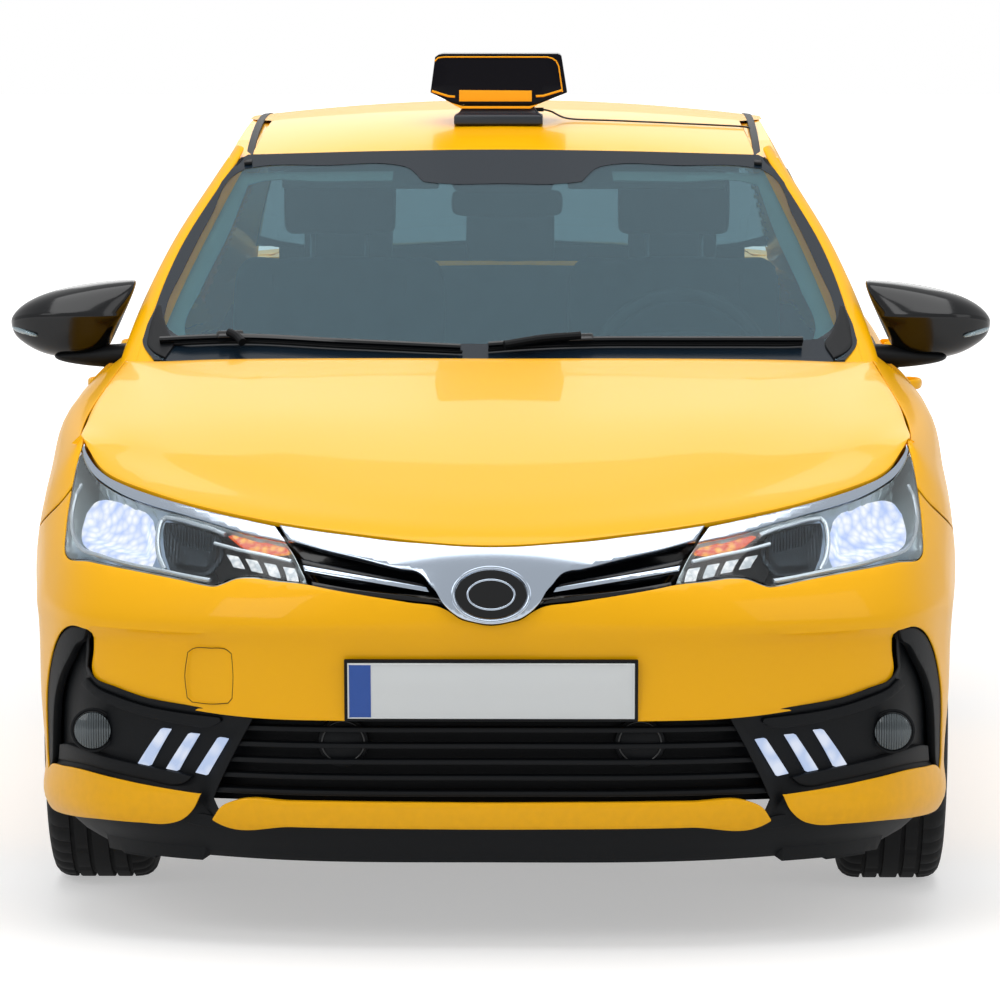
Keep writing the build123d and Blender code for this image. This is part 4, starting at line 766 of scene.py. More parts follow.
# Bright lines in the lamp: a name, a line, its thickness and how far it lies under the cover.
LAMP_LINES = (
    ("reflector_ring_", [(968, 684), (984, 662), (970, 634), (930, 604), (872, 581), (822, 567), (756, 561),
                         (698, 553), (640, 546), (600, 541), (562, 535), (520, 530)], 8.0, 8.0),
    ("chamber_ring_", [(572, 640), (588, 632), (604, 614), (615, 590), (616, 568), (606, 545)], 10.0, 9.0),
    ("lamp_foot_line_", [(574, 640), (540, 638), (502, 630), (474, 623), (454, 614)], 9.0, 9.0),
    ("lamp_blade_", [(490, 597), (478, 594), (452, 588), (406, 580), (358, 570)], 7.0, 8.0),
)
DAY_LAMPS = [(466, 568), (432, 562), (399, 556), (365, 550)]
for side, sign in SIDES:
    turn = on_side(sign)
    panel("lamp_housing_" + side, nose, turn(COVER), bezel_silver, "lamp_clear", "headlamp_" + side,
          wall=2.0, edge=0.0, grid=9.0, gap=2.5, sunk=5.0, bowl=(52.0, 20.0))
    panel("lamp_cover_" + side, nose, turn(COVER), lamp_cover, "lamp_clear", wall=2.5, edge=0.8, grid=10.0,
          gap=1.8)
    panel("main_reflector_" + side, nose, turn(REFLECTOR), main_beam, "lamp_clear", wall=4.0, edge=1.0,
          grid=7.0, sunk=16.0, bowl=(24.0, 40.0))
    panel("lamp_chamber_" + side, nose, turn(CHAMBER), dark_chamber, "lamp_clear", wall=4.0, edge=1.0,
          grid=7.0, sunk=16.0, bowl=(22.0, 30.0))
    panel("amber_indicator_" + side, nose, turn(AMBER), amber_lens, "lamp_clear", wall=5.0, edge=1.2,
          grid=6.0, sunk=10.0)
    for name, line, thick, sunk in LAMP_LINES:
        done(bead(name + side, nose, turn(line), thick, sunk=sunk, closed=False), chamber_trim, "lamp_clear")
    shelf = [(520, 560), (505, 528), (438, 541), (395, 537), (345, 533), (350, 560), (354, 596), (440, 612),
             (480, 612)]
    panel("lamp_shelf_" + side, nose, turn(shelf), black_plastic, "lamp_clear", wall=3.0, edge=1.0,
          grid=8.0, sunk=20.0)
    for number, (u, v) in enumerate(DAY_LAMPS):
        square = [(u - 13, v - 11), (u + 9, v - 8), (u + 13, v + 11), (u - 9, v + 8)]
        panel("day_lamp_%d_%s" % (number, side), nose, turn(square), day_lamp, "lamp_clear", wall=8.0,
              edge=2.5, grid=6.0, sunk=9.0)

# ------------------------------------------------------------- lower grille and corner pods
# Black polypropylene fills the opening: slats on a deep back in the middle, and at each
# corner a pod with a fog lamp, three lit bars and an upright blade along its outer edge.
panel("lower_grille_back", nose, whole([(0, 288), (500, 292), (545, 200), (556, 120), (0, 112)]),
      black_plastic, "black_plastic", "grille_lower", wall=2.0, edge=0.0, grid=20.0, sunk=62.0)
for number, v in enumerate((141, 170, 199, 228, 257)):
    half = 528 - (v - 141) * 0.6
    slat = [(0, v + 4.5), (270, v + 4.5), (half, v + 4.5), (half, v - 4.5), (270, v - 4.5), (0, v - 4.5)]
    panel("lower_slat_%d" % number, nose, whole(slat), black_plastic, "black_plastic", wall=26.0, edge=2.5,
          grid=9.0, sunk=17.0)
HORN_HIGH = 378
for side, x in (("left", 268.0), ("right", -268.0)):
    oval_disc("horn_" + side, (46.0, 46.0), 8.0, (x, NOSE + 70, HORN_HIGH), black_plastic, lean=0.0,
              slot="black_plastic")
    oval_ring("horn_rim_" + side, (38.0, 38.0), 4.0, (x, NOSE + 58, HORN_HIGH), gloss_black, lean=0.0)
POD = [(424, 297), (509, 290), (570, 296), (630, 304), (694, 320), (752, 337), (768, 353), (764, 385),
       (762, 429), (800, 433), (848, 421), (887, 398), (924, 363), (955, 313), (976, 256), (992, 200),
       (1002, 165), (994, 131), (960, 141), (885, 149), (800, 152), (717, 146), (647, 138), (590, 130),
       (571, 104), (596, 76), (540, 66), (506, 68), (524, 128)]
BLADE = [(758, 424), (800, 424), (845, 411), (882, 389), (917, 355), (946, 309), (967, 255), (983, 200),
         (993, 165), (984, 140), (962, 152), (944, 190), (922, 240), (895, 290), (862, 330), (826, 362),
         (795, 390), (770, 402)]
BROW = [(770, 332), (745, 318), (694, 303), (630, 288), (570, 280), (500, 275), (497, 268), (515, 258),
        (560, 258), (625, 268), (690, 282), (745, 298), (790, 318)]
SILL = [(940, 160), (885, 164), (800, 167), (717, 161), (647, 153), (590, 147), (575, 152), (560, 164),
        (590, 170), (650, 178), (717, 186), (800, 194), (880, 196), (925, 190)]
BARS = [[(612, 248), (596, 247), (642, 178), (665, 181)], [(562, 242), (544, 241), (589, 172), (610, 175)],
        [(508, 237), (487, 236), (534, 167), (555, 171)]]
FOG_AT = (731.0, NOSE + 195.0, 382.0)
light_bar = lit("lit_bar_lens", "#BFD2F5", "#E3ECFF", 0.85, 30.0)
fog_lens, tree, shader = material("fluted_fog_lens", "#4A5357", Roughness=0.12, Metallic=0.35,
    Coat_Weight=0.5)
relief(tree, shader, "Wave", {"Scale": 70.0}, 0.002, 0.9)
for side, sign in SIDES:
    turn = on_side(sign)
    panel("fog_pod_skin_" + side, nose, turn(POD), black_plastic, "black_plastic", "fog_pod_" + side,
          wall=2.5, edge=0.8, grid=13.0, sunk=9.0, bowl=(16.0, 38.0))
    panel("corner_blade_" + side, nose, turn(BLADE), black_plastic, "black_plastic", wall=16.0, edge=3.5,
          grid=10.0, sunk=3.0, gap=1.5)
    panel("pod_brow_" + side, nose, turn(BROW), black_plastic, "black_plastic", wall=14.0, edge=3.0,
          grid=10.0, sunk=8.0)
    panel("pod_sill_" + side, nose, turn(SILL), black_plastic, "black_plastic", wall=14.0, edge=3.0,
          grid=10.0, sunk=10.0)
    for number, line in enumerate(BARS):
        panel("light_bar_%d_%s" % (number, side), nose, turn(line), light_bar, "lamp_clear", wall=12.0,
              edge=2.5, grid=6.0, sunk=14.0)
    fog_at = (FOG_AT[0] * sign, FOG_AT[1], FOG_AT[2])
    oval_disc("fog_lens_" + side, (34.0, 34.0), 5.0, fog_at, fog_lens, lean=0.0, crown=5.0,
                     slot="lamp_clear")
    oval_ring("fog_rim_" + side, (38.0, 38.0), 6.0, (fog_at[0], fog_at[1] + 4, fog_at[2]), black_plastic,
              lean=0.0)

# The tray under the nose is the same black plastic, clipped behind the lips.
TRAY = [(0, 84), (377, 86), (520, 86), (560, 94), (600, 82), (673, 78), (762, 76), (860, 72), (925, 66),
        (915, 22), (860, 2), (560, 0), (280, 0), (0, 0)]
panel("front_tray", nose, whole(TRAY), black_plastic, "black_plastic", wall=4.0, edge=1.0, grid=20.0,
      sunk=14.0)

# The towing eye's cover is a rounded square let into the right-hand cheek with a fine gap, drawn as a thin
# dark yellow-brown bead: painted shade in the gap.
seam_shadow = grained("painted_gap_shade", "#5A3A00", 1.0, 0.02, Roughness=0.9)
TOW = [(-556, 392), (-547, 399), (-515, 402), (-483, 400), (-474, 393), (-471, 350), (-473, 312), (-481, 303),
       (-515, 300), (-548, 302), (-557, 310), (-561, 350)]
tow_sink = cheek_sink(np.array([(515.0, 350.0)]))[0] * 0.55 + 0.2
done(bead("tow_cover_gap", nose, TOW, 1.6, sunk=tow_sink), seam_shadow, "body_paint")


# ---------------------------------------------------------------------------- windscreen
# Laminated glass with a blue-grey tint, a black ceramic band baked on round its edge, and a
# rubber seal. Behind it are the pale pillar trims and the housing of the mirror and sensors.
def sheet_glass(name, code, bend, gleam):
    """Tinted glass; the coating on it gives its reflections the glass's own colour."""
    made, tree, shader = material(name, code, Roughness=0.0, IOR=bend, Transmission_Weight=1.0)
    shader.inputs["Specular Tint"].default_value = colour(gleam)
    grain(tree, shader, 400.0, 0.12, 0.0)
    return made


windscreen_glass = sheet_glass("laminated_tinted_glass", "#A9CAD2", 2.25, "#A6D2E8")
side_glass = sheet_glass("tempered_tinted_glass", "#6C848C", 1.6, "#A9C6CF")
ceramic_band = grained("black_ceramic_enamel", "#101D28", 3.0, 0.01, Roughness=0.2, IOR=1.5)
rubber = grained("black_epdm_rubber", "#090C10", 1.8, 0.05, Roughness=0.55, IOR=1.5, Specular_IOR_Level=0.25)
pale_trim = grained("pale_grey_trim_fabric", "#B9CFCC", 1.2, 0.15, 4.0, Roughness=0.9)

BOW_PLACE = 0.55
BOW_SHARE = 0.3025


def bowed(rows):
    """Points across a curved pane from rows of (height, depth in the middle, half width, depth
    at the edge)."""
    return [[(0, middle, z), (half * BOW_PLACE, middle + (edge - middle) * BOW_SHARE, z), (half, edge, z)]
            for z, middle, half, edge in rows]


GLASS_ROWS = [(955, -1177, 760, -1102), (1190, -745, 690, -655), (1390, -364, 620, -274)]
GLASS_UP = (0, 492, 922)
windscreen = lofted(bowed(GLASS_ROWS), (0, 380, 690), GLASS_UP)
GLASS_HALF = [(0, 60), (630, 60), (658, 110), (662, 258), (654, 504), (627, 720), (603, 868), (590, 884),
              (300, 902), (0, 910)]
GLASS_CLEAR = [(0, 768), (150, 770), (176, 776), (222, 838), (246, 846), (400, 842), (560, 833), (584, 824),
               (600, 795), (618, 617), (633, 406), (641, 258), (637, 212), (620, 172), (594, 148), (400, 142),
               (147, 140), (0, 139)]


def holed(name, surface, outline, hole, sunk=0.0, wall=0.6, grid=14.0):
    """A thin band on a surface between an outline and a hole, made as the pressed panel is."""
    outer = drawn(outline, step=grid / 2)
    inner = drawn(hole, step=grid / 2)
    flat = [Vector(p) for p in outer] + [Vector(p) for p in inner]
    loops = [(i, (i + 1) % len(outer)) for i in range(len(outer))]
    loops += [(len(outer) + i, len(outer) + (i + 1) % len(inner)) for i in range(len(inner))]
    made, _, faces, _, _, _ = delaunay_2d_cdt(flat, loops, [], 1, 1e-4)
    uv = np.array([tuple(p) for p in made])
    middles = np.array([uv[list(f)].mean(axis=0) for f in faces])
    faces = [f for f, out_of in zip(faces, ~inside(inner, middles)) if out_of]
    out = outwards(surface, uv)
    depth = np.ones(len(uv)) * (sunk(uv) if callable(sunk) else sunk)
    band = sheet(name, surface(uv) - out * depth[:, None] / 1000, faces, out)
    return walled(band, wall)


def pane_lift(uv):
    """The pane's sides lie over the pillars' faces."""
    return 7.0 * step_up(np.abs(uv[:, 0]), 570, 632) * (1 - step_up(uv[:, 1], 800, 890))


panel("windscreen_pane", windscreen, whole(GLASS_HALF), windscreen_glass, "glass", "windscreen", wall=5.0,
      edge=0.8, grid=22.0, sunk=lambda uv: 1.0 - pane_lift(uv))
done(holed("windscreen_band", windscreen, whole(GLASS_HALF), whole(GLASS_CLEAR),
           sunk=lambda uv: 0.2 - pane_lift(uv)), ceramic_band, "glass")
PILLAR_TRIM = [(604, 832), (617, 797), (636, 617), (651, 406), (658, 258), (653, 208), (632, 166), (597, 140),
               (590, 160), (598, 200), (592, 355), (577, 596), (574, 788), (556, 800), (400, 806), (250, 812),
               (250, 850), (400, 846), (560, 838)]
for side, sign in SIDES:
    turn = on_side(sign)
    panel("pillar_trim_" + side, windscreen, turn(PILLAR_TRIM), pale_trim, "cabin_plastic", wall=3.0,
          edge=0.8, grid=14.0, sunk=lambda uv: 22.0 - 12.0 * step_up(np.abs(uv[:, 0]), 576, 604))
    corner = [(610, 66), (632, 84), (650, 110), (657, 157), (660, 200), (659, 258), (653, 262), (643, 225),
              (634, 200), (620, 160), (604, 130)]
    panel("windscreen_corner_" + side, windscreen, turn(corner), rubber, "black_plastic", wall=14.0,
          edge=2.5, grid=9.0, sunk=-9.0)
    seal = [(656, 110), (660, 258), (652, 504), (625, 720), (601, 868)]
    done(bead("windscreen_seal_" + side, windscreen, turn(seal), 6.0, sunk=0.0, closed=False, step=12.0),
         rubber, "black_plastic")
SENSOR = [(0, 800), (80, 800), (110, 812), (120, 850), (110, 880), (0, 884)]
panel("sensor_housing", windscreen, whole(SENSOR), black_plastic, "cabin_plastic", wall=30.0, edge=4.0,
      grid=14.0, sunk=16.0)


def bar(name, places, thick, closed=False):
    """A round bar through places in millimetres, its ends closed."""
    return rod(name, [[v / 1000 for v in place] for place in places], thick, closed)


def block(name, size, at, turn=(0, 0, 0), edge=3.0, taper=1.0):
    """A box with rounded edges, in millimetres and degrees; its top may taper."""
    bpy.ops.mesh.primitive_cube_add(size=1.0)
    piece = bpy.context.object
    piece.name = name
    for vertex in piece.data.vertices:
        if vertex.co.z > 0:
            vertex.co.x *= taper
            vertex.co.y *= taper
        vertex.co = (vertex.co.x * size[0], vertex.co.y * size[1], vertex.co.z * size[2])
    lean = Matrix.Rotation(math.radians(turn[2]), 4, "Z") @ Matrix.Rotation(math.radians(turn[1]), 4, "Y")
    lean = lean @ Matrix.Rotation(math.radians(turn[0]), 4, "X")
    piece.data.transform(Matrix.Scale(0.001, 4) @ Matrix.Translation(at) @ lean)
    return rounded(piece, edge)


def skin(name, sections, hard=(), levels=2, capped=True, wrapped=True):
    """A closed form through sections of equal numbers of points, in millimetres, smoothed by
    subdivision. hard lists the places in a section where a crease runs along the form."""
    count = len(sections[0])
    points = [tuple(v / 1000 for v in p) for section in sections for p in section]
    faces = []
    for r in range(len(sections) - 1):
        for k in range(count if wrapped else count - 1):
            a, b = r * count + k, r * count + (k + 1) % count
            faces.append((a, b, b + count, a + count))
    if capped:
        faces.append(tuple(reversed(range(count))))
        faces.append(tuple((len(sections) - 1) * count + k for k in range(count)))
    piece = as_piece(name, points, faces)
    turned_out(piece)
    if hard:
        marks = piece.data.attributes.new("crease_edge", "FLOAT", "EDGE")
        for edge in piece.data.edges:
            a, b = edge.vertices
            if a % count == b % count and a % count in hard:
                marks.data[edge.index].value = hard[a % count] if isinstance(hard, dict) else 0.8
    if levels:
        smooth = piece.modifiers.new("smooth", "SUBSURF")
        smooth.levels = levels
        smooth.render_levels = levels
    return piece


def facing(piece, way):
    """Turns an open sheet's faces over if most of them look away from the given direction."""
    piece.data.update()
    if sum(face.normal.dot(Vector(way)) * face.area for face in piece.data.polygons) < 0:
        piece.data.flip_normals()
    return piece


# The windscreen pillars are painted pressings with a rounded outer edge, between the glass
# and the front door's frame. Each station has a height and how far out the pillar reaches.
PILLAR_REACH = [(968, 764), (1000, 758), (1030, 749), (1060, 740), (1100, 725), (1150, 704), (1200, 680),
                (1250, 652), (1300, 620), (1350, 590), (1380, 568)]
# The glass's edge as places up it and across it, and the door frame's side as heights and x.
FRAME_SIDE = ([960, 1000, 1060, 1100, 1150, 1200, 1250, 1300, 1350, 1390],
              [752, 738, 716, 702, 681, 658, 636, 613, 589, 566])
GLASS_EDGE = ((110, 258, 504, 720, 872), (664, 668, 660, 632, 607))
for side, sign in SIDES:
    rows = []
    for z, reach in PILLAR_REACH:
        v = float(np.interp(z, [row[0] for row in GLASS_ROWS], GLASS_UP))
        # A few small corrections bring the glass's edge to the station's height.
        for _ in range(6):
            edge = windscreen(np.array([(np.interp(v, *GLASS_EDGE), v)]))[0] * 1000
            v -= (edge[2] - z) * 2.1
        back = min(-973 + (z - 985) * 1.9, edge[1] + 130)
        side_x = float(np.interp(z, *FRAME_SIDE))
        rows.append([(sign * (edge[0] - 4), edge[1] - 2, edge[2] + 2),
                     (sign * (edge[0] - 2), edge[1] - 5, edge[2] + 8),
                     (sign * (edge[0] * 0.45 + reach * 0.55 + 3), edge[1] * 0.75 + back * 0.25, z + 12),
                     (sign * reach, back - 26, z + 2), (sign * (side_x + 3), back, z - 6)])
    pillar = facing(skin("pillar_skin_" + side, rows, levels=2, capped=False, wrapped=False),
                    (sign, -0.4, 0.4))
    done(walled(pillar, 1.5), car_paint, "body_paint")

# The interior mirror hangs from the housing on a short stalk.
sections = []
for x, high, fall in ((-118, 22, 6), (-105, 32, 3), (0, 36, 0), (105, 32, 3), (118, 22, 6)):
    sections.append([(x + 8, y - 330 + fall, z + 1268)
                     for y, z in ((-12, -high), (-14, high), (6, high), (8, -high))])
done(skin("cabin_mirror", sections, levels=3), black_plastic, "cabin_plastic")
done(bar("cabin_mirror_stalk", [(8, -330, 1290), (8, -345, 1318), (8, -350, 1345)], 14.0), black_plastic,
     "cabin_plastic")

# -------------------------------------------------------------------------------- mirrors
# Gloss-black shells with a crease along the middle and a clear repeater at the tip, each on
# a foot that stands on the door. They ride with the front doors.
# Sections from the door outwards: a station in x (top, low), heights of the top, crease and
# foot, and the depths of the front and the back.
MIRROR_SECTIONS = [
    ((730, 790), (1140, 1068, 998), (-880, -798)),
    ((744, 800), (1140, 1069, 988), (-904, -790)),
    ((800, 830), (1138, 1070, 974), (-926, -784)),
    ((880, 885), (1125, 1070, 974), (-932, -784)),
    ((934, 930), (1108, 1068, 984), (-922, -788)),
    ((972, 964), (1086, 1064, 1004), (-898, -798)),
    ((993, 988), (1058, 1053, 1026), (-866, -820)),
]
# The repeater's sections are (x, top, foot, front, back); the glass's and the foot's are
# (x, top, low).
REPEATER_SECTIONS = ((925, 1032, 1022, -924, -820), (950, 1044, 1024, -912, -818),
                     (974, 1052, 1029, -888, -816), (989, 1050, 1038, -862, -822))
PANE_SECTIONS = ((802, 1108, 1008), (820, 1116, 998), (880, 1108, 992), (930, 1092, 1000), (955, 1068, 1020))
FOOT_SECTIONS = ((716, 1012, 966), (760, 1010, 958), (810, 1006, 960), (860, 1000, 966), (905, 994, 976))
clear_lens, tree, shader = material("clear_repeater_lens", "#8FA3AC", Roughness=0.1, Metallic=0.3,
    Coat_Weight=0.6)
relief(tree, shader, "Wave", {"Scale": 60.0}, 0.001, 0.7)
mirror_glass = grained("silvered_mirror_glass", "#D8DDE0", 300.0, 0.02, 0.0, Metallic=1.0, Roughness=0.02)
for side, sign in SIDES:
    body = "door_front_" + side
    sections = []
    for (x_top, x_low), (top, crease, low), (front, back) in MIRROR_SECTIONS:
        x_mid = (x_top + x_low) / 2
        deep = back - front
        sections.append([(sign * x_top, back, top - 8), (sign * x_top, front + deep * 0.55, top),
                         (sign * x_top, front + deep * 0.2, top - (top - crease) * 0.22),
                         (sign * x_mid, front + 1, crease + 4), (sign * x_mid, front, crease - 3),
                         (sign * x_low, front + deep * 0.1, low + (crease - low) * 0.3),
                         (sign * x_low, front + deep * 0.4, low), (sign * x_low, back, low + 8)])
    done(skin("mirror_shell_" + side, sections, hard={0: 0.9, 3: 0.75, 4: 0.75, 7: 0.9}, levels=3),
         gloss_black, "gloss_black", "mirror_" + side, body=body)
    lens = []
    for x, high, low, front, back in REPEATER_SECTIONS:
        lens.append([(sign * x, y, z) for y, z in ((back - 20, high), (front, high - 4), (front - 1, low),
                                                   (back - 20, low))])
    done(skin("mirror_repeater_" + side, lens, levels=2), clear_lens, "lamp_clear", body=body)
    glass = [[(sign * x, -783, z) for z in (top, (top + low) / 2, low)]
             + [(sign * x, -788, z) for z in (low, (top + low) / 2, top)] for x, top, low in PANE_SECTIONS]
    done(skin("mirror_pane_" + side, glass, levels=2), mirror_glass, "gloss_black", body=body)
    foot = []
    for x, top, low in FOOT_SECTIONS:
        foot.append([(sign * x, y, z)
                     for y, z in ((-884, top), (-902, (top + low) / 2), (-884, low), (-826, low),
                                  (-812, (top + low) / 2), (-818, top))])
    done(skin("mirror_foot_" + side, foot, levels=2), black_plastic, "gloss_black", body=body)

# ------------------------------------------------------------------------------- roof sign
# A gloss-black moulded box on a satin foot. Its face carries a printed yellow line, two
# strokes and a blank yellow panel; its underside is yellow.
SIGN_FACE = -190.0
sign_yellow = grained("printed_yellow_vinyl", "#FFAE12", 2.0, 0.01, Roughness=0.4, Specular_IOR_Level=0.3)
sign_black = grained("gloss_black_acrylic", "#07060F", 30.0, 0.01, 0.0, Roughness=0.12,
    Specular_IOR_Level=0.12)
sign_foot = grained("satin_black_abs", "#18232E", 1.6, 0.06, Roughness=0.4, IOR=1.5)


def sign_plane(uv):
    """The sign's face, standing upright across the car."""
    uv = np.asarray(uv, float)
    return np.stack([uv[:, 0], np.full(len(uv), SIGN_FACE), uv[:, 1]], axis=1) / 1000


SIGN_BOX = [(-102, 1473), (-156, 1499), (-146, 1574), (-139, 1579), (-130, 1581), (114, 1581), (119, 1579),
            (122, 1575), (134, 1499), (70, 1473)]
panel("sign_box", sign_plane, SIGN_BOX, sign_black, "sign_plastic", "taxi_sign", wall=110.0, edge=3.0,
      grid=30.0, sharp=8.0)
foot = []
for half, deep, z in ((94, 60, 1431), (94, 60, 1450), (84, 52, 1455), (72, 44, 1474)):
    foot.append([(-12 + x * half, -135 + y * deep, z) for x, y in ((-1, -1), (1, -1), (1, 1), (-1, 1))])
done(rounded(skin("sign_foot", foot, levels=0), 3.0), sign_foot, "sign_plastic")
UNDERLINE = [(-124, 1483), (-112, 1477), (-88, 1470), (54, 1470), (68, 1473), (76, 1476), (56, 1465),
             (-92, 1465)]
panel("sign_underline", sign_plane, UNDERLINE, sign_yellow, "sign_plastic", wall=100.0, edge=1.0, grid=8.0,
      sunk=-0.6, sharp=8.0)
panel("sign_panel", sign_plane, [(-95, 1480), (59, 1480), (59, 1503), (-95, 1504)], sign_yellow,
      "sign_plastic", wall=1.6, edge=0.4, grid=12.0, sunk=-0.8)
SIGN_LINES = (
    ("sign_top_line", [(-147, 1565), (-140, 1572), (-128, 1574), (92, 1574), (103, 1571), (111, 1565),
                       (116, 1555), (124, 1500)], 3.4),
    ("sign_low_stroke_right", [(-153, 1502), (-118, 1491), (-104, 1490)], 5.4),
    ("sign_low_stroke_left", [(124, 1504), (84, 1492), (68, 1491)], 5.4),
)
for name, line, thick in SIGN_LINES:
    line = [(x, SIGN_FACE + thick * 0.2, z) for x, z in drawn(line, step=5.0, sharp=8.0, closed=False)]
    done(bar(name, line, thick), sign_yellow, "sign_plastic")
done(bar("sign_grommet", [(62, -120, 1461), (84, -120, 1461)], 9.0), sign_foot, "sign_plastic")

# --------------------------------------------------------------------------------- plates
# Blank pressed aluminium plates, white with a blue band at one end, in black frames.
plate_white = grained("white_reflective_plate", "#DDE1E2", 1.2, 0.01, Roughness=0.35)
plate_blue = grained("blue_reflective_band", "#1F4FA3", 1.2, 0.01, Roughness=0.35)
for which, body, y, z, tilt, flip in (("front", "root", -2301.4, 478.0, 10.0, 1),
                                      ("rear", "boot_lid", 2244.1, 850.0, 6.9, -1)):
    plane = Matrix.Translation((0, y, z)) @ Matrix.Rotation(math.radians(tilt), 4, "X")

    def laid(uv, place=plane, flip=flip):
        """The plate's own plane; across runs left to right as someone in front of it sees it."""
        uv = np.asarray(uv, float)
        return np.array([tuple(place @ Vector((u * flip, -2.0 * flip, v))) for u, v in uv]) / 1000

    frame_line = [(-264, -58), (264, -58), (264, 58), (-264, 58)]
    panel("plate_frame_" + which, laid, frame_line, black_plastic, "plate", "plate_" + which, body=body,
          wall=8.0, edge=2.5, grid=40.0, sunk=1.0)
    panel("plate_field_" + which, laid, [(-258, -52), (258, -52), (258, 52), (-258, 52)], plate_white,
          "plate", body=body, wall=3.0, edge=1.0, grid=40.0, sunk=-1.0)
    panel("plate_band_" + which, laid, [(-256, -50), (-216, -50), (-216, 50), (-256, 50)], plate_blue,
          "plate", body=body, wall=1.0, edge=0.3, grid=20.0, sunk=-1.6)
    rim = [(-256, -50), (256, -50), (256, 50), (-256, 50)]
    done(bead("plate_rim_" + which, laid, rim, 2.2, sunk=-1.2), plate_white, "plate", body=body)

# --------------------------------------------------------------------------------- wipers
# Flat-spring wipers parked along the foot of the windscreen: a rubber lip under a curved
# spine, and a pressed arm that rises from its hub under the bonnet's edge.
for number, (hub, first, last, middle) in enumerate((((-470, 96), (-628, 118), (-70, 100), (-500, 132)),
                                                     ((10, 92), (-20, 108), (560, 122), (150, 126)))):
    blade = drawn([first, ((first[0] + middle[0]) / 2, middle[1] - 6), middle, ((middle[0] + last[0]) / 2,
                   (middle[1] + last[1]) / 2 + 2), last], step=14.0, closed=False)
    done(bead("wiper_spine_%d" % number, windscreen, blade, 15.0, sunk=-16.0, closed=False), gloss_black,
         "black_plastic")
    done(bead("wiper_lip_%d" % number, windscreen, [(u, v - 2) for u, v in blade[::4]] + [tuple(blade[-1])],
              8.0, sunk=-6.0, closed=False), rubber, "black_plastic")
    arm = [hub, ((hub[0] + middle[0]) / 2, (hub[1] + middle[1]) / 2 + 6), middle]
    done(bead("wiper_arm_%d" % number, windscreen, arm, 17.0, sunk=-27.0, closed=False), black_plastic,
         "black_plastic", *(["wipers"] if number == 0 else []))
    knuckle = windscreen(np.array([middle], float))[0] * 1000
    done(block("wiper_knuckle_%d" % number, (54, 24, 14), (knuckle[0], knuckle[1] - 6, knuckle[2] + 17),
               (29, -2, 4), 5.0), gloss_black, "black_plastic")

# --------------------------------------------------------------------- wheels and tyres
# Cast alloy rims with five twin spokes and a plain cap, on black rubber tyres with four
# grooves and sipes across the shoulders. A vented steel disc sits behind each wheel.
alloy = grained("painted_cast_aluminium", "#A9ADB0", 4.0, 0.03, Metallic=0.9, Roughness=0.3)
tyre_rubber = grained("carbon_black_tyre_rubber", "#0C0D0F", 1.4, 0.12, 4.0, Roughness=0.75, IOR=1.52,
    Specular_IOR_Level=0.3)
disc_steel, tree, shader = material("ground_brake_steel", "#8A8D8F", Metallic=1.0, Roughness=0.35)
relief(tree, shader, "Noise", {"Scale": 80.0, "Detail": 4.0}, 0.0003, 0.4)
AXLES = {"front": -1350.0, "rear": 1350.0}
WHEEL_X = 760.0
WHEEL_Z = 316.0
# Angles in degrees: a fifth of a turn, half the angle between a pair of spokes at the hub, and
# how much further each of them leans on its way out.
FIFTH = 72
SPOKE_APART = 11
SPOKE_FAN = 5
# The bolts stand this far from the axle, in millimetres.
BOLT_CIRCLE = 45
HUB = [(46, 58), (66, 60), (74, 52), (78, 34), (76, 30), (76, 0), (46, 0)]
BOLT = [(66, 9), (75, 9), (77, 7), (77, 0), (66, 0)]
CAP = [(76, 27), (80, 27), (82, 24), (83, 12), (83, 0), (76, 0)]
DISC = [(-8, 60), (-8, 148), (-1, 148), (-1, 142), (6, 142), (6, 148), (13, 148), (13, 60)]
# A spoke's sections: how far out, how far its face stands, half its width and its depth.
SPOKE_SECTIONS = ((48, 74, 17, 30), (90, 78, 13, 24), (145, 82, 12, 24), (196, 85, 14, 30))
TREAD = [(74, 204), (74, 219), (92, 219), (99, 232), (102, 247), (102.5, 262), (101, 278), (98.5, 290),
         (95, 300), (88, 308), (79, 313), (70, 315), (57, 316), (56, 309), (49, 309), (48, 316), (24, 316),
         (23, 309), (16, 309), (15, 316)]
RIM = [(-90, 195), (-90, 217), (-82, 217), (-82, 204), (-42, 203), (-22, 181), (22, 181), (42, 203),
       (82, 204), (82, 216), (86, 218), (90.5, 217), (92, 212), (90.5, 198), (84, 193), (40, 191),
       (20, 172), (-20, 172), (-40, 191)]


def lathe(name, profile, at, steps=96, rise=None, flip=1):
    """A form turned about an axis across the car from (across, radius) pairs in millimetres."""
    points = []
    for j in range(steps):
        a = 2 * math.pi * j / steps
        for k, (x, r) in enumerate(profile):
            r += rise(k, j) if rise else 0
            points.append(((at[0] + flip * x) / 1000, (at[1] + r * math.cos(a)) / 1000,
                           (at[2] + r * math.sin(a)) / 1000))
    count = len(profile)
    faces = []
    for j in range(steps):
        for k in range(count):
            a, b = j * count + k, j * count + (k + 1) % count
            c = (j + 1) % steps * count
            faces.append((a, b, c + (k + 1) % count, c + k))
    made = as_piece(name, points, faces)
    shape = bmesh.new()
    shape.from_mesh(made.data)
    bmesh.ops.remove_doubles(shape, verts=shape.verts, dist=1e-6)
    bmesh.ops.dissolve_degenerate(shape, edges=shape.edges, dist=1e-6)
    bmesh.ops.recalc_face_normals(shape, faces=shape.faces)
    shape.to_mesh(made.data)
    shape.free()
    return made


def joined(pieces):
    """Several finished shapes as one piece."""
    bpy.ops.object.select_all(action="DESELECT")
    for piece in pieces:
        apply_all(piece)
    for piece in pieces:
        piece.select_set(True)
    bpy.context.view_layer.objects.active = pieces[0]
    bpy.ops.object.join()
    pieces[0].select_set(False)
    return pieces[0]


tread = TREAD + [(-x, r) for x, r in reversed(TREAD)]


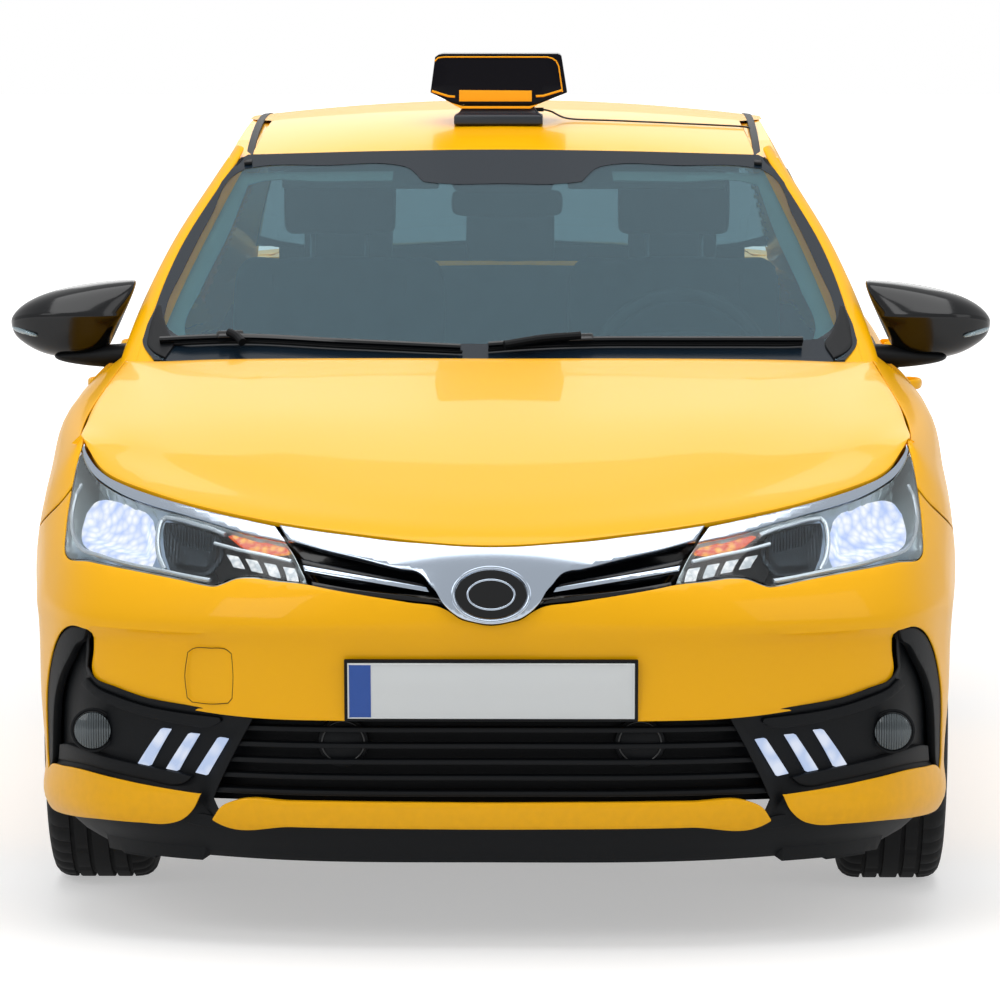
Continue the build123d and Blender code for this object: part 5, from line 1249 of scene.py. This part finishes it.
def sipe(k, j):
    """Narrow cuts across the shoulders of the tread."""
    across = abs(tread[k][0])
    if 56.5 < across < 97 and tread[k][1] > 295 and j % 4 == 0:
        return -4.5
    return -3.0 if 24 <= across <= 48 and tread[k][1] > 315 and j % 8 == 2 else 0


for end, axle in AXLES.items():
    for side, sign in SIDES:
        at = (sign * WHEEL_X, axle, WHEEL_Z)
        label = end + "_" + side
        body = "wheel_" + label
        done(lathe("tyre_tread_" + label, tread, at, steps=192, rise=sipe), tyre_rubber, "tyre",
             "tyre_" + label, body=body)
        done(lathe("rim_" + label, RIM, at, flip=sign), alloy, "alloy", "wheel_" + label, body=body)
        parts = [lathe("spokes_" + label, HUB, at, steps=48, flip=sign)]
        for number in range(10):
            pair, arm = divmod(number, 2)
            lean = math.radians(FIFTH * pair + (SPOKE_APART if arm else -SPOKE_APART))
            fan = math.radians(SPOKE_FAN if arm else -SPOKE_FAN)
            rows = []
            for r, face, wide, deep in SPOKE_SECTIONS:
                turn = lean + fan * (r - 48) / 150
                row = []
                for x, t in ((face - deep, -wide), (face - 4, -wide), (face, -wide + 5), (face, wide - 5),
                             (face - 4, wide), (face - deep, wide)):
                    row.append((at[0] + sign * x, at[1] + r * math.cos(turn) - t * math.sin(turn),
                                at[2] + r * math.sin(turn) + t * math.cos(turn)))
                rows.append(row)
            parts.append(skin("spoke", rows, levels=1))
        for number in range(5):
            turn = math.radians(FIFTH * number + FIFTH / 2)
            bolt_at = (at[0], at[1] + BOLT_CIRCLE * math.cos(turn), at[2] + BOLT_CIRCLE * math.sin(turn))
            parts.append(lathe("bolt", BOLT, bolt_at, steps=6, flip=sign))
        done(joined(parts), alloy, "alloy", body=body)
        done(lathe("wheel_cap_" + label, CAP, at, steps=48, flip=sign), chrome, "alloy", body=body)
        done(lathe("brake_disc_" + label, DISC, at, steps=72, flip=sign), disc_steel, "alloy", body=body)

# Moulded liners close the arches over the wheels; a section is a place across and a radius.
LINER_SECTIONS = ((838, 352), (800, 354), (700, 356), (590, 356), (575, 350))
for end, axle in AXLES.items():
    for side, sign in SIDES:
        rows = []
        for x, r in LINER_SECTIONS:
            rows.append([(sign * x, axle + r * math.cos(a), WHEEL_Z + r * math.sin(a))
                         for a in np.radians(np.linspace(6, 174, 29))])
        liner = skin("arch_liner_%s_%s" % (end, side), rows, levels=0, capped=False, wrapped=False)
        done(walled(liner, 2.5, offset=0), black_plastic, "black_plastic")

# ------------------------------------------------------------------------- sides of the car
# Body-coloured pull handles, rubber waist seals, gloss-black pillar covers and rubber strips
# in the roof's ditches, all laid on the panels that they fasten to.


def cast_on(names, start, ray):
    """A surface that lies on CAD nodes: places are carried onto it along a ray."""
    verts = []
    faces = []
    for name in names:
        mesh = nodes[name].data
        faces += [tuple(v + len(verts) for v in f.vertices) for f in mesh.polygons]
        verts += [v.co.copy() for v in mesh.vertices]
    tree = BVHTree.FromPolygons(verts, faces)

    def surface(uv):
        points = []
        for u, v in np.asarray(uv, float):
            at = start(u / 1000, v / 1000)
            hit = tree.ray_cast(at, ray)[0]
            points.append(tuple(hit) if hit is not None else tuple(tree.find_nearest(at)[0]))
        return np.array(points)

    return surface


DOOR_TRIM_FRONT = [(-700, 330), (-560, 318), (50, 318), (58, 330), (58, 915), (50, 925), (-690, 925),
                   (-710, 900)]
ARM_REST_PLACE = {"front": -330, "rear": 480}
DOOR_TRIM_REAR = [(135, 318), (770, 318), (800, 360), (900, 560), (1010, 640), (1060, 700), (1080, 915),
                  (1070, 925), (135, 925), (127, 900)]
for side, sign in SIDES:
    front, rear = "door_front_" + side, "door_rear_" + side
    wall = cast_on([front, rear, "glass_front_" + side, "glass_rear_" + side],
                   lambda u, v, sign=sign: Vector((sign * 1.3, sign * u, v)), Vector((-sign, 0, 0)))
    lining = cast_on([front, rear], lambda u, v, sign=sign: Vector((sign * 0.3, -sign * u, v)),
                     Vector((sign, 0, 0)))
    outer = on_side(sign)
    for body, first, last, high in ((front, -125, 30, 873), (rear, 945, 1100, 886)):
        at = wall(np.array(outer([((first + last) / 2, high)])))[0] * 1000
        rows = []
        for along, off, tall in ((0, 0, 11), (0.06, 14, 14), (0.2, 33, 13), (0.5, 37, 12), (0.8, 32, 11),
                                 (0.95, 12, 11), (1, 0, 9)):
            y = first + (last - first) * along
            x = at[0] + sign * off
            rows.append([(x - sign * 4, y, high - tall), (x + sign * 5, y, high - tall + 3),
                         (x + sign * 5, y, high + tall - 3), (x - sign * 4, y, high + tall)])
        done(skin("handle_" + body, rows, levels=2), car_paint, "body_paint", body=body)
    for body, line in ((front, [(-738, 955), (-400, 955), (-100, 955), (76, 955)]),
                       (rear, [(90, 955), (400, 955), (700, 955), (1058, 955)])):
        done(bead("waist_seal_" + body, wall, outer(line), 11.0, sunk=-3.0, closed=False, step=60.0),
             rubber, "black_plastic", body=body)
    for body, cover in ((front, [(43, 966), (78, 966), (78, 1322), (43, 1322)]),
                        (rear, [(88, 966), (123, 966), (123, 1326), (88, 1328)])):
        panel("pillar_cover_" + body, wall, outer(cover), gloss_black, "gloss_black", body=body, wall=2.0,
              edge=0.6, grid=40.0, sunk=-1.6)
    for body, trim in ((front, DOOR_TRIM_FRONT), (rear, DOOR_TRIM_REAR)):
        panel("door_trim_" + body, lining, mirrored(outer(trim)), black_plastic, "cabin_plastic", body=body,
              wall=2.0, edge=0.8, grid=60.0, sunk=-3.0)
        middle = ARM_REST_PLACE[body.split("_")[1]]
        rest = [(middle + u * 230, 640 + v * 28) for u, v in ((-1, -1), (1, -1), (1, 1), (-1, 1))]
        panel("arm_rest_" + body, lining, mirrored(outer(rest)), black_plastic, "cabin_plastic", body=body,
              wall=40.0, edge=8.0, grid=60.0, sunk=-45.0)

ROOF_LINE = [(-380, 1352, 1381), (-150, 1394, 1434), (300, 1432, 1465), (700, 1418, 1458), (950, 1386, 1424)]
roof_rows = [[(0, y, crown), (308, y, crown - (crown - edge) * BOW_SHARE), (560, y, edge)]
             for y, edge, crown in ROOF_LINE]
roof_surface = lofted(roof_rows, (0, 308, 560), [row[0] for row in ROOF_LINE])
for side, sign in SIDES:
    strip = [(526, -374), (542, -374), (541, 0), (540, 400), (539, 780), (532, 906), (518, 906), (523, 780),
             (524, 400), (525, 0)]
    panel("roof_strip_" + side, roof_surface, on_side(sign)(strip), rubber, "black_plastic", wall=6.0,
          edge=1.2, grid=24.0, sunk=-2.4)

# ------------------------------------------------------------------------- back of the car
# Red lens tail lamps with clear and amber windows, a chromed bar over the plate, reflectors
# and a black lower valance on the bumper. The backlight and side panes are tinted glass.
lamp_red, tree, shader = material("moulded_red_acrylic", "#8E0710", Roughness=0.12, IOR=1.49, Coat_Weight=0.5)
relief(tree, shader, "Voronoi", {"Scale": 130.0}, 0.001, 0.35, "Distance")
amber_window = grained("moulded_amber_acrylic", "#C4560C", 8.0, 0.2, Roughness=0.15, Coat_Weight=0.5)
clear_window = grained("moulded_clear_acrylic", "#C9CFD2", 8.0, 0.2, Roughness=0.12, Coat_Weight=0.5)
for name in both("tail_lamp"):
    finish(name, lamp_red)
for name in both("glass_front") + both("glass_rear") + ["rear_window"]:
    finish(name, side_glass)
tail = cast_on(both("tail_lamp") + both("side_frame") + ["boot_lid", "bumper_rear", "rear_window"],
               lambda u, v: Vector((-u, 3.0, v)), Vector((0, -1, 0)))
panel("boot_garnish", tail, whole([(0, 930), (300, 930), (316, 936), (310, 958), (0, 964)]), chrome,
      "gloss_black", body="boot_lid", wall=12.0, edge=3.0, grid=30.0, sunk=-8.0)
rows = []
for x in (-470, -455, -300, -150, 0, 150, 300, 455, 470):
    at = tail(np.array([(-x, 300.0)]))[0][1] * 1000
    low = tail(np.array([(-x, 262.0)]))[0][1] * 1000
    deep = 4 if abs(x) < 460 else -2
    rows.append([(x, at - 12, 340), (x, at + deep, 336), (x, at + deep, 300), (x, low + deep, 262),
                 (x, low - 12, 252)])
done(skin("rear_valance", rows, levels=1), black_plastic, "black_plastic")
for side, sign in SIDES:
    turn = on_side(-sign)
    for name, window, mat in (("reverse", [(575, 780), (700, 786), (690, 832), (590, 830)], clear_window),
                              ("indicator", [(575, 846), (700, 848), (690, 884), (590, 890)], amber_window)):
        panel("tail_%s_%s" % (name, side), tail, turn(window), mat, "lamp_red", wall=2.0, edge=0.8,
              grid=12.0, sunk=-1.4)
    panel("rear_reflector_" + side, tail, turn([(560, 430), (690, 436), (690, 462), (560, 456)]), lamp_red,
          "lamp_red", wall=4.0, edge=1.2, grid=20.0, sunk=-3.0)
BACKLIGHT_ROWS = [(1050, 1678, 760, 1600), (1230, 1328, 690, 1242), (1415, 965, 600, 900)]
backlight = lofted(bowed(BACKLIGHT_ROWS), (0, 380, 690), (0, 390, 800))
BACKLIGHT_EDGE = [(0, 84), (560, 84), (600, 112), (606, 400), (600, 740), (580, 772), (0, 780)]
BACKLIGHT_CLEAR = [(0, 112), (530, 112), (570, 138), (578, 400), (572, 710), (545, 740), (0, 746)]
done(holed("backlight_band", backlight, whole(BACKLIGHT_EDGE), whole(BACKLIGHT_CLEAR), sunk=1.5),
     ceramic_band, "glass")

# Painted corner panels close the body between the boot lid, the quarters and the tail lamps.
CORNER_ROWS = [
    (1870, (584, 1050), (625, 1048), (665, 1042), (705, 1027), (745, 1003), (772, 978)),
    (1900, (579, 1054), (620, 1051), (660, 1046), (700, 1037), (745, 1026), (768, 1000)),
    (1940, (576, 1055), (612, 1053), (650, 1050), (690, 1045), (735, 1033), (757, 1008)),
    (1980, (571, 1055), (605, 1054), (640, 1051), (675, 1047), (712, 1041), (735, 1014)),
    (2030, (566, 1055), (590, 1054), (615, 1052), (645, 1049), (685, 1043), (705, 1018)),
    (2080, (561, 1054), (577, 1053), (594, 1052), (615, 1049), (646, 1043), (664, 1020)),
    (2120, (558, 1053), (567, 1052), (577, 1050), (588, 1047), (603, 1042), (620, 1020)),
    (2146, (557, 1043), (562, 1042), (568, 1041), (573, 1040), (580, 1038), (592, 1020)),
]
for side, sign in SIDES:
    rows = [[(sign * x, y, z) for x, z in row] for y, *row in CORNER_ROWS]
    corner = facing(skin("quarter_corner_" + side, rows, levels=2, capped=False, wrapped=False), (0, 0, 1))
    done(walled(corner, 2.0), car_paint, "body_paint")

# ---------------------------------------------------------------------------------- cabin
# Two front seats and a rear bench in woven cloth over foam, each cushion a crowned form
# whose sides pull in to piped seams. Headrests stand on steel posts.
seat_cloth, tree, shader = material("woven_charcoal_seat_cloth", "#2E3439", Roughness=0.95, Sheen_Weight=0.3)
place = add(tree, "ShaderNodeTexCoord")
threads = [add(tree, "ShaderNodeTexWave", {"Scale": 160.0, "Distortion": 0.4},
               {"Vector": place.outputs["Object"]}, bands_direction=way) for way in ("X", "Z")]
weave = add(tree, "ShaderNodeMath", links={0: threads[0].outputs["Fac"], 1: threads[1].outputs["Fac"]},
            operation="MULTIPLY")
bump = add(tree, "ShaderNodeBump", {"Strength": 0.6, "Distance": 0.0006}, {"Height": weave.outputs[0]})
tree.links.new(bump.outputs["Normal"], shader.inputs["Normal"])
patches = add(tree, "ShaderNodeTexNoise", {"Scale": 12.5, "Detail": 3.0}, {"Vector": place.outputs["Object"]})
worn = ramped(tree, patches.outputs["Fac"], 0.35, 0.65, "#272C31", "#3A4147")
tree.links.new(worn, shader.inputs["Base Color"])
polished_steel = grained("plated_steel_tube", "#B4B8BB", 2.0, 0.01, Metallic=1.0, Roughness=0.18)
CUSHION_STATIONS = ((-1.0, 0.72, 0), (-0.97, 0.93, 0), (-0.82, 1.0, 1), (-0.62, 0.97, 0.1),
                    (-0.3, 0.99, 0.25), (0.0, 1.0, 0.3), (0.3, 0.99, 0.25), (0.62, 0.97, 0.1),
                    (0.82, 1.0, 1), (0.97, 0.93, 0), (1.0, 0.72, 0))


def cushion(name, outline, middle, half, full, bolster=14.0):
    """A padded form: an outline in (y, z) carried across the seat, drawn in at its ends, with
    raised side bolsters on the faces that carry the sitter."""
    centre = np.mean(np.array(outline, float), axis=0)
    rows = []
    for along, scale, raised in CUSHION_STATIONS:
        row = []
        for number, (y, z) in enumerate(outline):
            away = np.array((y, z)) - centre
            grow = scale + (raised * bolster / max(np.linalg.norm(away), 1) if number in full else 0)
            row.append((middle + half * along, *(centre + away * grow)))
        rows.append(row)
    pad = skin(name, rows, levels=2)
    done(pad, seat_cloth, "seat_cloth")
    return pad


SEAT_PAD = [(-318, 402), (-60, 392), (212, 384), (222, 430), (216, 468), (60, 478), (-120, 496), (-262, 512),
            (-318, 486)]
SEAT_BACK = [(136, 452), (238, 452), (300, 680), (366, 910), (418, 1108), (384, 1126), (340, 1112),
             (282, 920), (214, 700)]
HEADREST = [(352, 1166), (432, 1162), (446, 1236), (452, 1302), (412, 1314), (376, 1306), (352, 1240)]
SEAT_MIDDLE = 370
for side, sign in SIDES:
    middle = sign * SEAT_MIDDLE
    pad = cushion("seat_pad_" + side, SEAT_PAD, middle, 246, (5, 6, 7))
    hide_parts("front_seat_" + side)
    back = cushion("seat_back_" + side, SEAT_BACK, middle, 236, (6, 7, 8))
    rest = cushion("headrest_" + side, HEADREST, middle, 124, (), 0.0)
    for post in (-60, 60):
        line = [(middle + post, y, z) for y, z in ((378, 1110), (392, 1150), (400, 1185))]
        done(bar("headrest_post_%s_%d" % (side, post), line, 12.0), polished_steel, "seat_cloth")
    done(block("seat_base_" + side, (400, 400, 130), (middle, -30, 325), edge=14.0, taper=1.05),
         black_plastic, "cabin_plastic")
    for seam in (-0.62, 0.62):
        x = middle + seam * 236
        done(bar("seat_seam_%s_%d" % (side, seam > 0), [(x, 219, 700), (x, 284, 916), (x, 334, 1080)], 5.0),
             seat_cloth, "seat_cloth")
BENCH_PAD = [(512, 436), (780, 430), (1040, 432), (1044, 462), (800, 492), (660, 510), (550, 520), (508, 496)]
BENCH_BACK = [(972, 470), (1080, 470), (1150, 770), (1216, 1050), (1180, 1064), (1142, 1050), (1066, 780)]
BENCH_HALF = 596
BENCH_REST = [(1158, 1062), (1208, 1062), (1218, 1180), (1198, 1190), (1168, 1184)]
bench = cushion("bench_pad", BENCH_PAD, 0, BENCH_HALF, (4, 5, 6), 10.0)
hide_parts("rear_seat")
soft_pieces = [bench, cushion("bench_back", BENCH_BACK, 0, BENCH_HALF, (5, 6), 10.0)]
soft_pieces += [cushion("bench_rest_%d" % number, BENCH_REST, x, 104, (), 0.0)
                for number, x in enumerate((-380, 0, 380))]

# The dashboard is the CAD moulding in grained plastic, with a hood over the instruments, a
# screen, round vents and the steering wheel on its column.
wheel_leather = grained("stitched_black_leather", "#121315", 1.6, 0.12, 4.0, Roughness=0.5, IOR=1.5)
screen_glass = grained("dark_display_glass", "#06090C", 300.0, 0.01, 0.0, Roughness=0.08, Coat_Weight=0.4)
headlining = grained("pale_headlining_fabric", "#9DAAAA", 1.2, 0.15, 4.0, Roughness=0.95)
finish("dashboard", black_plastic)
sections = []
for x, low, high in ((205, 985, 12), (240, 988, 26), (370, 990, 40), (500, 988, 26), (535, 985, 12)):
    sections.append([(x, y, z) for y, z in ((-860, 988), (-800, low), (-742, low - 8), (-742, low + high),
                                            (-810, low + high + 6))])
done(skin("instrument_hood", sections, levels=2), black_plastic, "cabin_plastic")
done(block("centre_screen", (210, 14, 124), (0, -742, 930), (-8, 0, 0), 4.0), screen_glass, "cabin_plastic")
for number, x in enumerate((-610, -150, 150, 610)):
    oval_ring("vent_ring_%d" % number, (40.0, 34.0), 5.0, (x, -746, 930), black_plastic, lean=0.0)
RING_AT = (370.0, -560.0, 920.0)
RING_RADIUS = 0.18
RING_THICK = 0.0148
RING_LEAN = 25
bpy.ops.object.select_all(action="DESELECT")
bpy.ops.mesh.primitive_torus_add(major_radius=RING_RADIUS, minor_radius=RING_THICK, major_segments=96,
                                 minor_segments=16)
ring = bpy.context.object
ring.name = "wheel_ring"
ring_turn = (Matrix.Translation([v / 1000 for v in RING_AT])
             @ Matrix.Rotation(math.radians(90 - RING_LEAN), 4, "X"))
ring.data.transform(ring_turn)
turned_out(ring)
done(ring, wheel_leather, "cabin_plastic", "steering_wheel", body="steering_wheel")


def on_ring(rows):
    """Points given in the steering wheel's own plane, as (across, up, out), carried to the car."""
    return [[tuple(v * 1000 for v in ring_turn @ Vector([c / 1000 for c in p])) for p in row] for row in rows]


HUB_LINE = ((-62, 40), (0, 48), (62, 40), (70, 0), (46, -46), (0, -60), (-46, -46), (-70, 0))
hub = [[(x * s, y * s, z) for x, y in HUB_LINE]
       for s, z in ((0.8, -26), (1.0, -20), (1.0, 2), (0.8, 12), (0.4, 16))]
done(skin("wheel_hub", on_ring(hub), levels=2), black_plastic, "cabin_plastic", body="steering_wheel")
for number, turn in enumerate((4, 176, 270)):
    c, s = math.cos(math.radians(turn)), math.sin(math.radians(turn))
    rows = [[(c * r - s * t, s * r + c * t, z) for t, z in ((-wide, -8), (-wide, 5), (wide, 5), (wide, -8))]
            for r, wide in ((46, 22), (90, 17), (140, 15), (176, 18))]
    done(skin("wheel_spoke_%d" % number, on_ring(rows), levels=1), black_plastic, "cabin_plastic",
         body="steering_wheel")

# Pale headlining under the roof, two sun visors and a black carpet on the floor.
lining = [(-500, -300), (500, -300), (512, 200), (505, 860), (-505, 860), (-512, 200)]
panel("headlining", roof_surface, lining, headlining, "cabin_plastic", wall=3.0, edge=1.0, grid=60.0,
      sunk=42.0)
for side, sign in SIDES:
    done(block("sun_visor_" + side, (330, 140, 16), (sign * 300, -262, 1322), (16, 0, 0), 6.0), headlining,
         "cabin_plastic")
carpet = grained("tufted_black_carpet", "#15171A", 2.4, 0.9, 5.0, Roughness=1.0)
for name in ("floor_pan", "rear_shelf"):
    finish(name, carpet)
finish("cowl", black_plastic)

# ------------------------------------------------------------------------ under the panels
# Painted pressings and cast or rolled metal, as they show with the bonnet or a door open.
painted_steel = grained("black_painted_chassis_steel", "#15171A", 3.0, 0.08, Roughness=0.55, Metallic=0.3)
cast_metal = grained("sand_cast_aluminium", "#7B7E80", 2.2, 0.3, 4.0, Metallic=1.0, Roughness=0.5)
forged_steel = grained("forged_suspension_steel", "#4A4C4F", 2.0, 0.1, Metallic=1.0, Roughness=0.5)
exhaust_steel = grained("aluminised_exhaust_steel", "#77736B", 6.0, 0.05, Metallic=1.0, Roughness=0.42)
for name, mat in (("front_frame", painted_steel), ("rear_axle", painted_steel), ("bulkhead", car_paint),
                  ("engine", cast_metal), ("fuel_tank", black_plastic), ("exhaust", exhaust_steel),
                  ("knuckle_left", forged_steel), ("knuckle_right", forged_steel)):
    finish(name, mat)
done(block("engine_cover", (520, 330, 60), (0, -1740, 715), edge=16.0, taper=0.94), black_plastic, "steel")
done(block("battery", (175, 240, 180), (-420, -1500, 640), edge=8.0), black_plastic, "steel")
done(block("battery_lid", (178, 244, 22), (-420, -1500, 736), edge=6.0), dark_chamber, "steel")
for number, x in enumerate((-150, -50, 50, 150)):
    done(bar("cover_rib_%d" % number, [(x, -1880, 745), (x, -1600, 745)], 14.0), black_plastic, "steel")

# ------------------------------------------------------------------------- floor and light
# A white studio: pale floor, even sky light from all round, and a large soft lamp overhead.
world = bpy.data.worlds.new("studio")
bpy.context.scene.world = world
world.use_nodes = True
tree = world.node_tree
WHITE = (1, 1, 1, 1)
SKY_ON_OBJECT = 0.5
MIRRORED = 0.66


def seen_by(tree):
    """1 for what the camera sees directly, less for what the paint and the glass show of it."""
    rays = add(tree, "ShaderNodeLightPath")
    best = rays.outputs["Is Camera Ray"]
    for kind, share in (("Is Glossy Ray", MIRRORED), ("Is Transmission Ray", MIRRORED)):
        part = add(tree, "ShaderNodeMath", {1: share}, {0: rays.outputs[kind]}, operation="MULTIPLY")
        best = add(tree, "ShaderNodeMath", links={0: best, 1: part.outputs[0]},
                   operation="MAXIMUM").outputs[0]
    return best


strength = add(tree, "ShaderNodeMath", {1: SKY_ON_OBJECT}, {0: seen_by(tree)}, operation="MAXIMUM")
background = tree.nodes["Background"]
background.inputs["Color"].default_value = WHITE
tree.links.new(strength.outputs[0], background.inputs["Strength"])

bpy.ops.mesh.primitive_plane_add(size=120.0)
floor = bpy.context.object
floor.name = "floor"
floor_paint, tree, shader = material("matt_floor_paint", "#D8D8D8", Roughness=0.9)
place = add(tree, "ShaderNodeTexCoord")
away = add(tree, "ShaderNodeVectorMath", links={0: place.outputs["Object"]}, operation="LENGTH")
pale = add(tree, "ShaderNodeMapRange", {"From Min": 2.2, "From Max": 7.0, "To Min": 0.42, "To Max": 1.0},
           {"Value": away.outputs["Value"]}, interpolation_type="SMOOTHSTEP")
glow = add(tree, "ShaderNodeMath", links={0: seen_by(tree), 1: pale.outputs[0]}, operation="MULTIPLY")
shader.inputs["Emission Color"].default_value = WHITE
tree.links.new(glow.outputs[0], shader.inputs["Emission Strength"])
floor.data.materials.append(floor_paint)
LAMPS = [("overhead", (0.0, -1.5, 6.5), 6.0, 250.0), ("key", (-5.0, -7.5, 5.5), 4.0, 130.0),
         ("fill", (6.0, -5.0, 4.0), 4.0, 60.0), ("back", (0.0, 8.0, 5.0), 5.0, 120.0)]
for name, place, size, power in LAMPS:
    lamp = bpy.data.lights.new(name, "AREA")
    lamp.size = size
    lamp.energy = power
    stand = bpy.data.objects.new(name, lamp)
    bpy.context.scene.collection.objects.link(stand)
    stand.location = place
    stand.rotation_euler = (Vector((0, 0, 0.6)) - Vector(place)).to_track_quat("-Z", "Y").to_euler()
